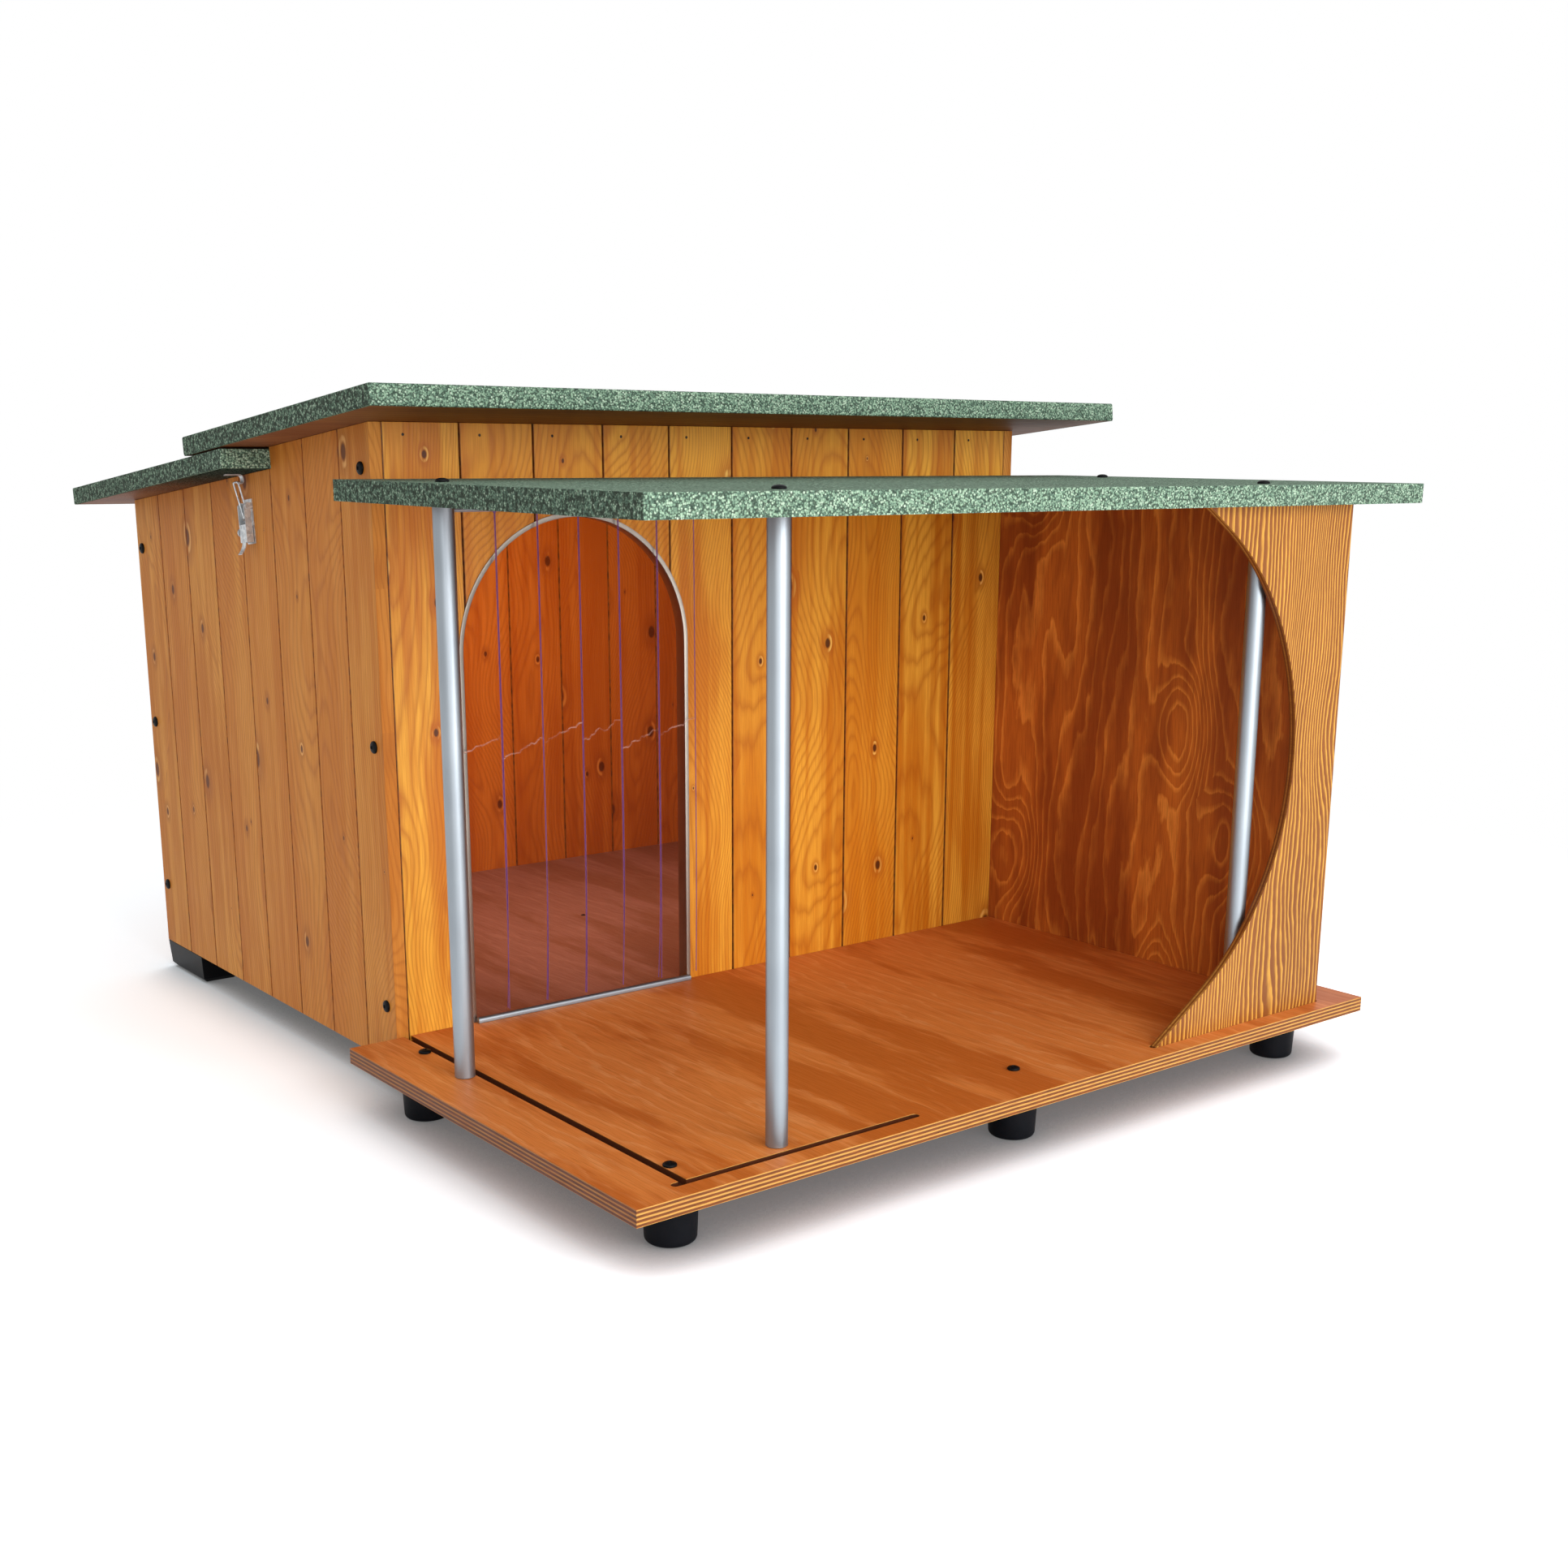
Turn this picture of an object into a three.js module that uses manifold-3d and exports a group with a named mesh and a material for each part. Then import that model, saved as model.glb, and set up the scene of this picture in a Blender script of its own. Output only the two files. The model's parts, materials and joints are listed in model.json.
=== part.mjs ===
// Timber dog house with a boarded cabin, a stepped lift-off roof and a roofed veranda.
// Millimetres, +Z up. X runs across the front, Y runs from the veranda's front edge to the rear.
// The pieces are first placed from the cabin's front left corner, at ground level, and the
// whole is then moved so that the origin is under the middle of its bounding box.

import * as THREE from 'three';
import { mergeVertices } from 'three/addons/utils/BufferGeometryUtils.js';
import Module from 'manifold-3d';

const wasm = await Module();
wasm.setup();

// ------------------------------------------------------------------ driving dimensions

const seat = 0.3; // gap between two pieces that touch
const past = 1; // a cutting tool runs this far past a face

// straight sides that stand for a full turn, or for one bend
const tubeSides = 24;
const footSides = 28;
const boltSides = 16;
const holeSteps = 8; // in each half of a hole's outline
const archSteps = 28;
const bendSteps = 6;

// wall boards, tongue and groove
const boardCover = 106; // visible width of one board
const boardThickness = 17;
const boardsAcross = 10; // boards in the front wall
const rearBoardWidth = 102; // last board of a side wall, cut at the rear corner
const leastBoardWidth = 40; // narrowest board left at the front corner
const jointWidth = 2.6; // V joint between two boards
const jointDepth = 3;

// cabin
const cabinDepth = 824;
const wallBottom = 45; // lower edge of the walls above the ground
const floorLevel = 84; // walking surface of the cabin and of the veranda
const plyThickness = 20; // cabin floor and veranda platform
const cornerPostSize = 30;
const cornerPostShort = 2; // the posts end this far below the roof
const bearerWidth = 44; // battens under the cabin floor
const cabinFootLength = 143;
const cabinFootWidth = 65;
const cabinFootDraft = 3; // each side leans in by this much
const cabinFootBevel = 7; // along its lower edges
const frontBlockInset = 40; // front feet of the cabin, from its sides

// doorway
const doorCentre = 290; // from the cabin's left side
const doorRadius = 174; // half width and arch radius
const doorTop = 745;
const trimThickness = 1.2; // folded aluminium edge trim
const trimLip = 7; // width of its lip on the wall
const barHeight = 7; // half-round bar on the platform, in front of the door
const barDepth = 8;

// strip curtain
const stripCount = 6;
const stripPitch = 62.1;
const stripGap = 0.8;
const stripThickness = 2;
const stripClearance = 3; // lower end above the door bar
const curtainHead = 23; // from the top of the doorway to the veranda roof
const rodRadius = 2;
const rodPlay = 0.5; // between the rod and a strip's loop
const rodLift = 2.7; // above the rail's lower edge
const railThickness = 1.6;
const railTopGap = 1; // between the rail and the veranda roof
const cheekThickness = 3;

// stepped roof
const roofFall = 0.0968; // fall to the rear for each unit of depth
const roofSide = 68; // overhang past each side wall
const roofFront = 147; // overhang in front of the cabin, along the slope
const upperLength = 574; // upper slab, along the slope
const lowerStart = 298; // from the front wall to the lower slab, along the slope
const roofRear = 82.15; // overhang behind the cabin, along the slope
const slabStep = 28; // from one slab's underside to the other's
const boardPly = 22; // roof boards
const coverThickness = 3; // mineral-faced shingle round each board
const railPly = 18; // side rails that tie the two slabs and locate the roof
const railDepth = 60; // below the lower slab
const railSideGap = 1.5; // between a rail and a side wall
const railEndGap = 3; // between a rail and a corner post

// veranda
const platformSide = 67; // overhang past each side of the cabin
const platformDepth = 655;
const slotDepth = 8; // routed slots that hold the panels
const panelThickness = 10;
const sidePanelInset = 10; // outer face inside the cabin's side
const frontPanelInset = 3; // outer edge inside the cabin's side
const frontSlotEdge = 36; // inner face of the front slot, from the platform's front edge
const arcRadius = 356; // round cut in the front panel
const arcNeck = 89; // narrowest width of the front panel
const arcHeight = 438; // height of the narrowest place
const arcTangent = 57; // degrees above and below it where the cut runs straight
const verandaRoofFall = 0.008; // fall to the front
const verandaRoofLeft = 49;
const verandaRoofRight = 108;
const verandaRoofFront = 3; // overhang past the platform's front edge
const wallOverVeranda = 67.7; // front wall above the veranda roof

// posts and their bolts
const postRadius = 12.5;
const postWall = 1.5;
const postPlug = 20; // solid end plugs
const postStud = 18; // stud in the platform
const studRadius = 3;
const boltPlay = 0.6; // round a stud or bolt in its hole
const rearPostOut = 3; // rear posts outside the cabin's sides
const rearPostDepth = 187;
const frontPostInset = 156;
const frontPostEdge = 55; // from the platform's front edge
const boltGrip = 15; // bolt inside the post
const capRadius = 8;
const capHeight = 4.5;
const capEdge = 1.5; // straight edge under the dome

// feet of the veranda
const footRadius = 32;
const footBaseRadius = 29;
const footRound = 6;
const footBoltRadius = 4;
const footBoltGrip = 34; // bolt inside the foot
const rearFootDepth = 75;
const rearFootInset = 1;
const frontFootEdge = 77; // from the platform's front edge
const frontFootInset = 28;

// draw latches, one on each side wall, square to the roof
const latchAlong = 383; // from the front wall, along the slope
const sheet = 1.2; // lever sheet
const plate = 1.5; // base and catch plate
const pivotOut = 7; // lever pivot from the wall
const pivotDrop = 43; // lever pivot below the roof
const leverEnd = 92; // lower end of the lever's channel, below the roof
const leverOuter = 12.4; // outer face of the lever, from the wall
const leverInner = 2.6;
const leverHalf = 11.4; // half the channel's width
const leverNose = 4.8; // round end about the pivot
const noseAngle = 20; // where the round end meets the cheek's straight edges
const webDrop = 8; // upper edge of the lever's face below the bail's pivot, clear of its legs
const tailDrop = 16;
const tailOut = 8;
const tailHalf = 6;
const rivetRadius = 1.5;
const rivetPlay = 0.4;
const earHalf = 13; // outer half width of the base
const earRadius = 4;
const baseTop = 34; // base plate below the roof
const baseEnd = 94;
const eyeDrop = 78; // padlock eye below the roof
const eyeOut = 8.4;
const eyeRadius = 6.2;
const eyeHole = 3.5;
const wireRadius = 1.2; // bail
const bailHalf = 8.2; // half the distance between its legs
const bailPivotOut = 5.5;
const bailPivotDrop = 60;
const bailReach = 50;
const bailTilt = 12; // degrees off the wall, with its bar just outside the catch
const wireBend = 2;
const catchHalf = 5;
const catchOut = 30; // outer end of the catch plate, under the roof
const catchNeck = 6.3; // middle of the plate where it runs down by the wall
const catchBend = 5.2;
const hookDrop = 9.7; // centre of the hook's bend, below the roof
const hookBend = 3.3;
const hookTip = 20; // degrees left open at the hook's tip

// ------------------------------------------------------------------ derived sizes

const cabinWidth = boardsAcross * boardCover + 2 * boardThickness;
const innerLeft = boardThickness + seat;
const innerRight = cabinWidth - innerLeft;
const innerFront = boardThickness + seat;
const innerRear = cabinDepth - innerFront;
const slope = Math.atan(roofFall);
const slabThickness = boardPly + seat + coverThickness;
const verandaRoofHeight = doorTop + curtainHead; // underside at the cabin wall
const wallTopFront = verandaRoofHeight + slabThickness + wallOverVeranda; // front wall's outer face
const verandaRoofDepth = platformDepth + verandaRoofFront;
const slotFront = platformDepth - frontSlotEdge; // inner face of the front slot, from the cabin
const frontPostDepth = platformDepth - frontPostEdge;
const frontFootDepth = platformDepth - frontFootEdge;
const roofWidth = cabinWidth + 2 * roofSide;
const lowerEnd = cabinDepth / Math.cos(slope) + roofRear;
const lowerLength = lowerEnd - lowerStart;
const platformLeft = -platformSide;
const platformRight = cabinWidth + platformSide;
const platformBottom = floorLevel - plyThickness;
const slotWidth = panelThickness + 2 * seat;
const panelFoot = floorLevel - slotDepth + seat;
const panelRight = cabinWidth - frontPanelInset;
const arcCentre = panelRight - arcNeck - arcRadius;
const boltHole = studRadius + boltPlay;
const footBoltHole = footBoltRadius + boltPlay;
const stripLeft = doorCentre - (stripCount * stripPitch) / 2;
const loopInner = rodRadius + rodPlay;
const loopOuter = loopInner + stripThickness;
const railBottom = doorTop + trimLip + seat;
const rodHeight = railBottom + rodLift;
const rodOut = railThickness + seat + loopOuter + rodPlay;

// underside of the veranda roof at depth y, which is negative in front of the cabin
const verandaUnder = (y) => verandaRoofHeight + verandaRoofFall * y;

// a point of the roof's own frame, as depth and height: along the slope and square above it
const roofPoint = (along, above) => [
  along * Math.cos(slope) + above * Math.sin(slope),
  wallTopFront - along * Math.sin(slope) + above * Math.cos(slope),
];

// ------------------------------------------------------------------ helpers

const radians = THREE.MathUtils.degToRad;

function toSolid(geometry) {
  const bare = geometry.clone();
  bare.deleteAttribute('normal');
  bare.deleteAttribute('uv');
  const merged = mergeVertices(bare, 1e-4);
  const source = merged.index.array;
  const kept = [];
  for (let i = 0; i < source.length; i += 3) {
    const [a, b, c] = [source[i], source[i + 1], source[i + 2]];
    if (a !== b && b !== c && c !== a) kept.push(a, b, c);
  }
  return new wasm.Manifold(new wasm.Mesh({
    numProp: 3,
    vertProperties: new Float32Array(merged.attributes.position.array),
    triVerts: new Uint32Array(kept),
  }));
}

function toGeometry(solid) {
  const mesh = solid.getMesh();
  const geometry = new THREE.BufferGeometry();
  geometry.setAttribute('position', new THREE.BufferAttribute(new Float32Array(mesh.vertProperties), 3));
  geometry.setIndex(new THREE.BufferAttribute(new Uint32Array(mesh.triVerts), 1));
  geometry.computeVertexNormals();
  return geometry;
}

const outline = (points) => new THREE.Shape(points.map(([a, b]) => new THREE.Vector2(a, b)));

const rectangle = (a0, a1, b0, b1) => outline([[a0, b0], [a1, b0], [a1, b1], [a0, b1]]);

function circle(a, b, radius) {
  const shape = new THREE.Shape();
  shape.absarc(a, b, radius, 0, 2 * Math.PI, false);
  return shape;
}

// extrudes an outline along an axis; it lies in (y, z) for x, in (x, z) for y, in (x, y) for z
function prism(axis, shape, from, to, segments = 12) {
  const geometry = new THREE.ExtrudeGeometry(shape, {
    depth: to - from,
    bevelEnabled: false,
    curveSegments: segments,
  });
  const place = {
    x: new THREE.Matrix4().set(0, 0, 1, from, 1, 0, 0, 0, 0, 1, 0, 0, 0, 0, 0, 1),
    y: new THREE.Matrix4().set(1, 0, 0, 0, 0, 0, -1, to, 0, 1, 0, 0, 0, 0, 0, 1),
    z: new THREE.Matrix4().makeTranslation(0, 0, from),
  }[axis];
  return toSolid(geometry.applyMatrix4(place));
}

const box = (x0, x1, y0, y1, z0, z1) => prism('z', rectangle(x0, x1, y0, y1), z0, z1);

// turns a profile of [radius, height] about Z
function lathe(profile, sides) {
  const points = profile.map(([radius, height]) => new THREE.Vector2(radius, height));
  return toSolid(new THREE.LatheGeometry(points, sides).rotateX(Math.PI / 2));
}

// a band of even thickness along a line of points, as an outline
function ribbon(points, thickness) {
  const line = points.map(([a, b]) => new THREE.Vector2(a, b));
  const near = [];
  const far = [];
  line.forEach((point, i) => {
    const before = line[Math.max(i - 1, 0)];
    const after = line[Math.min(i + 1, line.length - 1)];
    const along = after.clone().sub(before).normalize();
    const side = new THREE.Vector2(-along.y, along.x).multiplyScalar(thickness / 2);
    near.push(point.clone().add(side));
    far.unshift(point.clone().sub(side));
  });
  return new THREE.Shape([...near, ...far]);
}

// points of an arc, from one angle to another in degrees
function arcPoints(a, b, radius, from, to, steps) {
  const points = [];
  for (let i = 0; i <= steps; i += 1) {
    const angle = radians(from + ((to - from) * i) / steps);
    points.push([a + radius * Math.cos(angle), b + radius * Math.sin(angle)]);
  }
  return points;
}

// a path through given points, with one ring of a swept section at each of them
class PointPath extends THREE.Curve {
  constructor(points) {
    super();
    this.points = points;
  }
  getUtoTmapping(u) {
    return u;
  }
  getPoint(t, target = new THREE.Vector3()) {
    const place = Math.min(Math.max(t, 0), 1) * (this.points.length - 1);
    const index = Math.min(Math.floor(place), this.points.length - 2);
    return target.lerpVectors(this.points[index], this.points[index + 1], place - index);
  }
}

// ------------------------------------------------------------------ finishes

const finish = (color, roughness, metalness = 0, extra = {}) =>
  new THREE.MeshStandardMaterial({ color, roughness, metalness, flatShading: true, ...extra });

const finishes = {
  pineFront: finish(0xd08a3a, 0.5),
  pineSide: finish(0xb87a40, 0.6),
  stainedPly: finish(0xa9602c, 0.55),
  darkPly: finish(0x8a4a1c, 0.55),
  panelPly: finish(0xc8803c, 0.5),
  batten: finish(0xc89a62, 0.7),
  shingle: finish(0x6f8f75, 0.95),
  aluminium: finish(0xc4c8cc, 0.3, 0.9),
  steel: finish(0xb4b6b4, 0.35, 0.9),
  blackPlastic: finish(0x17181a, 0.5),
  clearPvc: finish(0xc9b8d8, 0.15, 0, { transparent: true, opacity: 0.35 }),
};

const house = new THREE.Group();
const cabin = new THREE.Group();
const veranda = new THREE.Group();
house.add(cabin, veranda);

function addPiece(parent, name, solid, material, position = [0, 0, 0]) {
  const mesh = new THREE.Mesh(toGeometry(solid), material);
  mesh.name = name;
  mesh.position.set(...position);
  parent.add(mesh);
  return mesh;
}

// ------------------------------------------------------------------ roof planes

// everything below the roof, seen from the side; clear is the gap kept under the slabs
function underRoof(clear) {
  const shape = outline([
    [-roofFront, 0],
    roofPoint(-roofFront, -clear),
    roofPoint(lowerStart - clear, -clear),
    roofPoint(lowerStart - clear, -slabStep - clear),
    roofPoint(lowerEnd, -slabStep - clear),
    [lowerEnd, 0],
  ]);
  return prism('x', shape, -roofSide, cabinWidth + roofSide);
}

// a slab is a ply board with a shingle tray over its top and edges, in its own flat frame
function slabBoard(width, length) {
  const edge = coverThickness + seat;
  return box(edge, width - edge, edge, length - edge, 0, boardPly);
}

function slabCover(width, length) {
  const inside = box(
    coverThickness,
    width - coverThickness,
    coverThickness,
    length - coverThickness,
    -past,
    boardPly + seat,
  );
  return box(0, width, 0, length, 0, slabThickness).subtract(inside);
}

// ------------------------------------------------------------------ walls

// the section of a boarded wall: V joints on both faces, at the given places along it
function boardedSection(start, end, joints) {
  const half = jointWidth / 2;
  const outer = [[start, 0]];
  const inner = [[start, boardThickness]];
  for (const joint of joints) {
    outer.push([joint - half, 0], [joint, jointDepth], [joint + half, 0]);
    inner.push(
      [joint - half, boardThickness],
      [joint, boardThickness - jointDepth],
      [joint + half, boardThickness],
    );
  }
  outer.push([end, 0]);
  inner.push([end, boardThickness]);
  return [...outer, ...inner.reverse()];
}

const frontJoints = [];
for (let i = 1; i < boardsAcross; i += 1) frontJoints.push(boardThickness + i * boardCover);

const sideJoints = [];
for (let y = cabinDepth - rearBoardWidth; y > leastBoardWidth; y -= boardCover) sideJoints.unshift(y);

function archShape(radius, bottom) {
  const spring = doorTop - doorRadius;
  return outline([
    [doorCentre - radius, bottom],
    [doorCentre + radius, bottom],
    ...arcPoints(doorCentre, spring, radius, 0, 180, archSteps),
  ]);
}

const wallSpace = underRoof(seat);

function makeFrontWall() {
  const section = boardedSection(innerLeft, innerRight, frontJoints);
  const wall = prism('z', outline(section), wallBottom, wallTopFront);
  const door = prism('y', archShape(doorRadius, floorLevel), -past, boardThickness + past);
  return wall.intersect(wallSpace).subtract(door);
}

function makeRearWall() {
  const section = boardedSection(innerLeft, innerRight, frontJoints);
  const placed = section.map(([along, depth]) => [along, cabinDepth - depth]);
  return prism('z', outline(placed), wallBottom, wallTopFront).intersect(wallSpace);
}

function makeSideWall(outerFace, inward) {
  const section = boardedSection(0, cabinDepth, sideJoints);
  const placed = section.map(([along, depth]) => [outerFace + inward * depth, along]);
  return prism('z', outline(placed), wallBottom, wallTopFront).intersect(wallSpace);
}

addPiece(cabin, 'front_wall', makeFrontWall(), finishes.pineFront);
addPiece(cabin, 'rear_wall', makeRearWall(), finishes.pineSide);
addPiece(cabin, 'side_wall_left', makeSideWall(0, 1), finishes.pineSide);
addPiece(cabin, 'side_wall_right', makeSideWall(cabinWidth, -1), finishes.pineSide);

// ------------------------------------------------------------------ cabin base and frame

function makeCabinFloor() {
  return box(innerLeft, innerRight, innerFront, innerRear, platformBottom, floorLevel);
}

// two long bearers and three cross battens, lapped flush into one frame
function makeFloorFrame() {
  const low = wallBottom;
  const high = platformBottom - seat;
  const middle = (innerFront + innerRear) / 2;
  const bearers = [innerLeft, innerRight - bearerWidth].map((x) =>
    box(x, x + bearerWidth, innerFront, innerRear, low, high));
  const battens = [innerFront, middle - bearerWidth / 2, innerRear - bearerWidth].map((y) =>
    box(innerLeft, innerRight, y, y + bearerWidth, low, high));
  return [...bearers, ...battens].reduce((all, part) => all.add(part));
}

function makeCornerPost(x, y) {
  const post = box(x, x + cornerPostSize, y, y + cornerPostSize, floorLevel + seat, wallTopFront);
  return post.intersect(underRoof(cornerPostShort));
}

// a moulded block, narrower at its foot and bevelled there, centred on its own axis
function makeCabinFoot(sizeX, sizeY) {
  const height = wallBottom - seat;
  const section = (size) => {
    const side = size / 2 - cabinFootDraft;
    const base = side - cabinFootBevel;
    return outline([
      [-base, 0],
      [base, 0],
      [side, cabinFootBevel],
      [size / 2, height],
      [-size / 2, height],
      [-side, cabinFootBevel],
    ]);
  };
  const lengthwise = prism('x', section(sizeY), -sizeX, sizeX);
  return lengthwise.intersect(prism('y', section(sizeX), -sizeY, sizeY));
}

addPiece(cabin, 'cabin_floor', makeCabinFloor(), finishes.stainedPly);
addPiece(cabin, 'floor_frame', makeFloorFrame(), finishes.batten);

const corners = [
  { name: 'front_left', x: innerLeft, y: innerFront, side: 0, rear: false },
  { name: 'front_right', x: innerRight - cornerPostSize, y: innerFront, side: 1, rear: false },
  { name: 'rear_left', x: innerLeft, y: innerRear - cornerPostSize, side: 0, rear: true },
  { name: 'rear_right', x: innerRight - cornerPostSize, y: innerRear - cornerPostSize, side: 1, rear: true },
];

for (const corner of corners) {
  addPiece(cabin, `corner_post_${corner.name}`, makeCornerPost(corner.x, corner.y), finishes.batten);
}

// the rear feet lie along the side walls, the front feet along the front wall
for (const corner of corners) {
  const sizeX = corner.rear ? cabinFootWidth : cabinFootLength;
  const sizeY = corner.rear ? cabinFootLength : cabinFootWidth;
  const middle = sizeX / 2 + (corner.rear ? 0 : frontBlockInset);
  const x = corner.side ? cabinWidth - middle : middle;
  const y = corner.rear ? cabinDepth - sizeY / 2 : sizeY / 2;
  addPiece(cabin, `cabin_foot_${corner.name}`, makeCabinFoot(sizeX, sizeY), finishes.blackPlastic, [x, y, 0]);
}

// ------------------------------------------------------------------ doorway trim

// a band that follows the arch and the jambs, between two distances from the wall's cut
function archBand(inside, outside, yFrom, yTo) {
  const bottom = floorLevel + seat;
  const outer = prism('y', archShape(doorRadius + outside, bottom), yFrom, yTo);
  const inner = archShape(doorRadius + inside, bottom - past);
  return outer.subtract(prism('y', inner, yFrom - past, yTo + past));
}

// a folded U: a web inside the opening and a lip on each face of the wall
function makeArchTrim() {
  const inside = -seat - trimThickness;
  const front = -seat - trimThickness;
  const back = boardThickness + seat + trimThickness;
  const web = archBand(inside, -seat, front, back);
  const frontLip = archBand(inside, trimLip, front, -seat);
  const rearLip = archBand(inside, trimLip, boardThickness + seat, back);
  return web.add(frontLip).add(rearLip);
}

function makeDoorBar() {
  const base = floorLevel + seat;
  const back = -seat - trimThickness - seat;
  const section = outline([
    [back, base],
    [back, base + barHeight / 2],
    ...arcPoints(back - barDepth / 2, base + barHeight / 2, barDepth / 2, 0, 180, bendSteps),
    [back - barDepth, base],
  ]);
  return prism('x', section, doorCentre - doorRadius, doorCentre + doorRadius);
}

addPiece(cabin, 'arch_trim', makeArchTrim(), finishes.aluminium);
addPiece(cabin, 'door_bar', makeDoorBar(), finishes.aluminium);

// ------------------------------------------------------------------ strip curtain

// an angle on the wall, with a cheek at each end and the rod that the strips hang on
function makeCurtainRail() {
  const top = verandaRoofHeight - railTopGap;
  const left = stripLeft - seat - cheekThickness;
  const right = stripLeft + stripCount * stripPitch + seat + cheekThickness;
  const reach = -rodOut - loopOuter;
  const back = box(left, right, -seat - railThickness, -seat, railBottom, top);
  const hood = box(left, right, reach, -seat, top - railThickness, top);
  const cheek = (x) => box(x, x + cheekThickness, reach, -seat, railBottom, top);
  const rod = prism('x', circle(-rodOut, rodHeight, rodRadius), left, right, bendSteps);
  return back.add(hood).add(cheek(left)).add(cheek(right - cheekThickness)).add(rod);
}

// a sheet with a welded loop at its top; the origin is the middle of the loop's bore
function makeStrip() {
  const width = stripPitch - stripGap;
  const drop = rodHeight - (floorLevel + seat + barHeight / 2 + barDepth / 2 + stripClearance);
  const half = stripThickness / 2;
  const sheetPart = prism('x', rectangle(-half, half, -drop, -loopInner - half), -width / 2, width / 2);
  const loop = prism('x', circle(0, 0, loopOuter), -width / 2, width / 2, holeSteps);
  const bore = prism('x', circle(0, 0, loopInner), -width, width, holeSteps);
  return loop.add(sheetPart).subtract(bore);
}

addPiece(veranda, 'curtain_rail', makeCurtainRail(), finishes.aluminium);
for (let i = 0; i < stripCount; i += 1) {
  const x = stripLeft + (i + 0.5) * stripPitch;
  addPiece(veranda, `curtain_strip_${i + 1}`, makeStrip(), finishes.clearPvc, [x, -rodOut, rodHeight]);
}

// ------------------------------------------------------------------ places on the veranda

// a place from the side of the cabin, mirrored onto both sides
const bothSides = (inset, depth) => [
  { name: 'left', x: inset, y: -depth },
  { name: 'right', x: cabinWidth - inset, y: -depth },
];

const posts = [
  ...bothSides(-rearPostOut, rearPostDepth).map((at) => ({ ...at, name: `rear_${at.name}` })),
  ...bothSides(frontPostInset, frontPostDepth).map((at) => ({ ...at, name: `front_${at.name}` })),
];

const feet = [
  ...bothSides(rearFootInset, rearFootDepth).map((at) => ({ ...at, name: `rear_${at.name}` })),
  ...bothSides(frontFootInset, frontFootDepth).map((at) => ({ ...at, name: `front_${at.name}` })),
  { name: 'front_middle', x: cabinWidth / 2, y: -frontFootDepth },
];

// ------------------------------------------------------------------ front panel outline

// the round cut runs out along its tangents to the floor and to the roof
function frontPanelOutline() {
  const lean = radians(arcTangent);
  const runOut = Math.tan(lean);
  const top = verandaUnder(-slotFront - slotWidth) - seat;
  const lowPoint = [arcCentre + arcRadius * Math.cos(lean), arcHeight - arcRadius * Math.sin(lean)];
  const highPoint = [lowPoint[0], arcHeight + arcRadius * Math.sin(lean)];
  const footX = lowPoint[0] - (lowPoint[1] - floorLevel) * runOut;
  const topX = highPoint[0] - (top - highPoint[1]) * runOut;
  return {
    left: footX,
    points: [
      [footX, panelFoot],
      [panelRight, panelFoot],
      [panelRight, top],
      [topX, top],
      ...arcPoints(arcCentre, arcHeight, arcRadius, arcTangent, -arcTangent, archSteps),
      [footX, floorLevel],
    ],
  };
}

const frontPanel = frontPanelOutline();
const slotBeyond = slotWidth / 2 + seat; // the slot's round end, past the panel's square one
const slotLength = panelRight - frontPanel.left + 2 * slotBeyond;
const slotOuter = frontPanelInset - slotBeyond; // outer end, from the cabin's side

// ------------------------------------------------------------------ platform

// the two slots of one side, as seen from above: one along the side and one along the front
function slotTools(mirror) {
  const across = (x) => (mirror ? cabinWidth - x : x);
  const round = slotWidth / 2;
  const middle = -slotFront - round;
  const sideX = sidePanelInset - seat;
  const side = rectangle(
    Math.min(across(sideX), across(sideX + slotWidth)),
    Math.max(across(sideX), across(sideX + slotWidth)),
    middle,
    past,
  );
  const ends = [across(slotOuter + round), across(slotOuter + slotLength - round)];
  const front = rectangle(Math.min(...ends), Math.max(...ends), middle - round, middle + round);
  const low = floorLevel - slotDepth;
  const high = floorLevel + past;
  const rounds = ends.map((x) => prism('z', circle(x, middle, round), low, high, bendSteps));
  return [prism('z', side, low, high), prism('z', front, low, high), ...rounds];
}

function makePlatform() {
  const slab = box(platformLeft, platformRight, -platformDepth, -seat, platformBottom, floorLevel);
  const through = (at, radius) =>
    prism('z', circle(at.x, at.y, radius), platformBottom - past, floorLevel + past, holeSteps);
  const holes = [
    ...posts.map((at) => through(at, boltHole)),
    ...feet.map((at) => through(at, footBoltHole)),
  ];
  const tools = [...slotTools(false), ...slotTools(true), ...holes];
  return tools.reduce((left, tool) => left.subtract(tool), slab);
}

addPiece(veranda, 'platform', makePlatform(), finishes.stainedPly);

// ------------------------------------------------------------------ feet, posts and bolts

// a domed cap on a shank; the origin is under the cap
function makeBolt(shankRadius, shankLength) {
  const dome = arcPoints(0, 0, 1, 0, 90, bendSteps / 2).map(([a, b]) => [
    a * capRadius,
    capEdge + b * (capHeight - capEdge),
  ]);
  const shank = [[0, -shankLength], [shankRadius, -shankLength], [shankRadius, 0]];
  return lathe([...shank, [capRadius, 0], ...dome], boltSides);
}

// a turned rubber foot, wider at its top, with a bore for the bolt
function makePlatformFoot() {
  const height = platformBottom - seat;
  const round = arcPoints(footBaseRadius - footRound, footRound, footRound, -90, 0, bendSteps);
  return lathe([
    [0, 0],
    ...round,
    [footRadius, height],
    [footBoltHole, height],
    [footBoltHole, height - footBoltGrip - boltPlay],
    [0, height - footBoltGrip - boltPlay],
  ], footSides);
}

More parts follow.
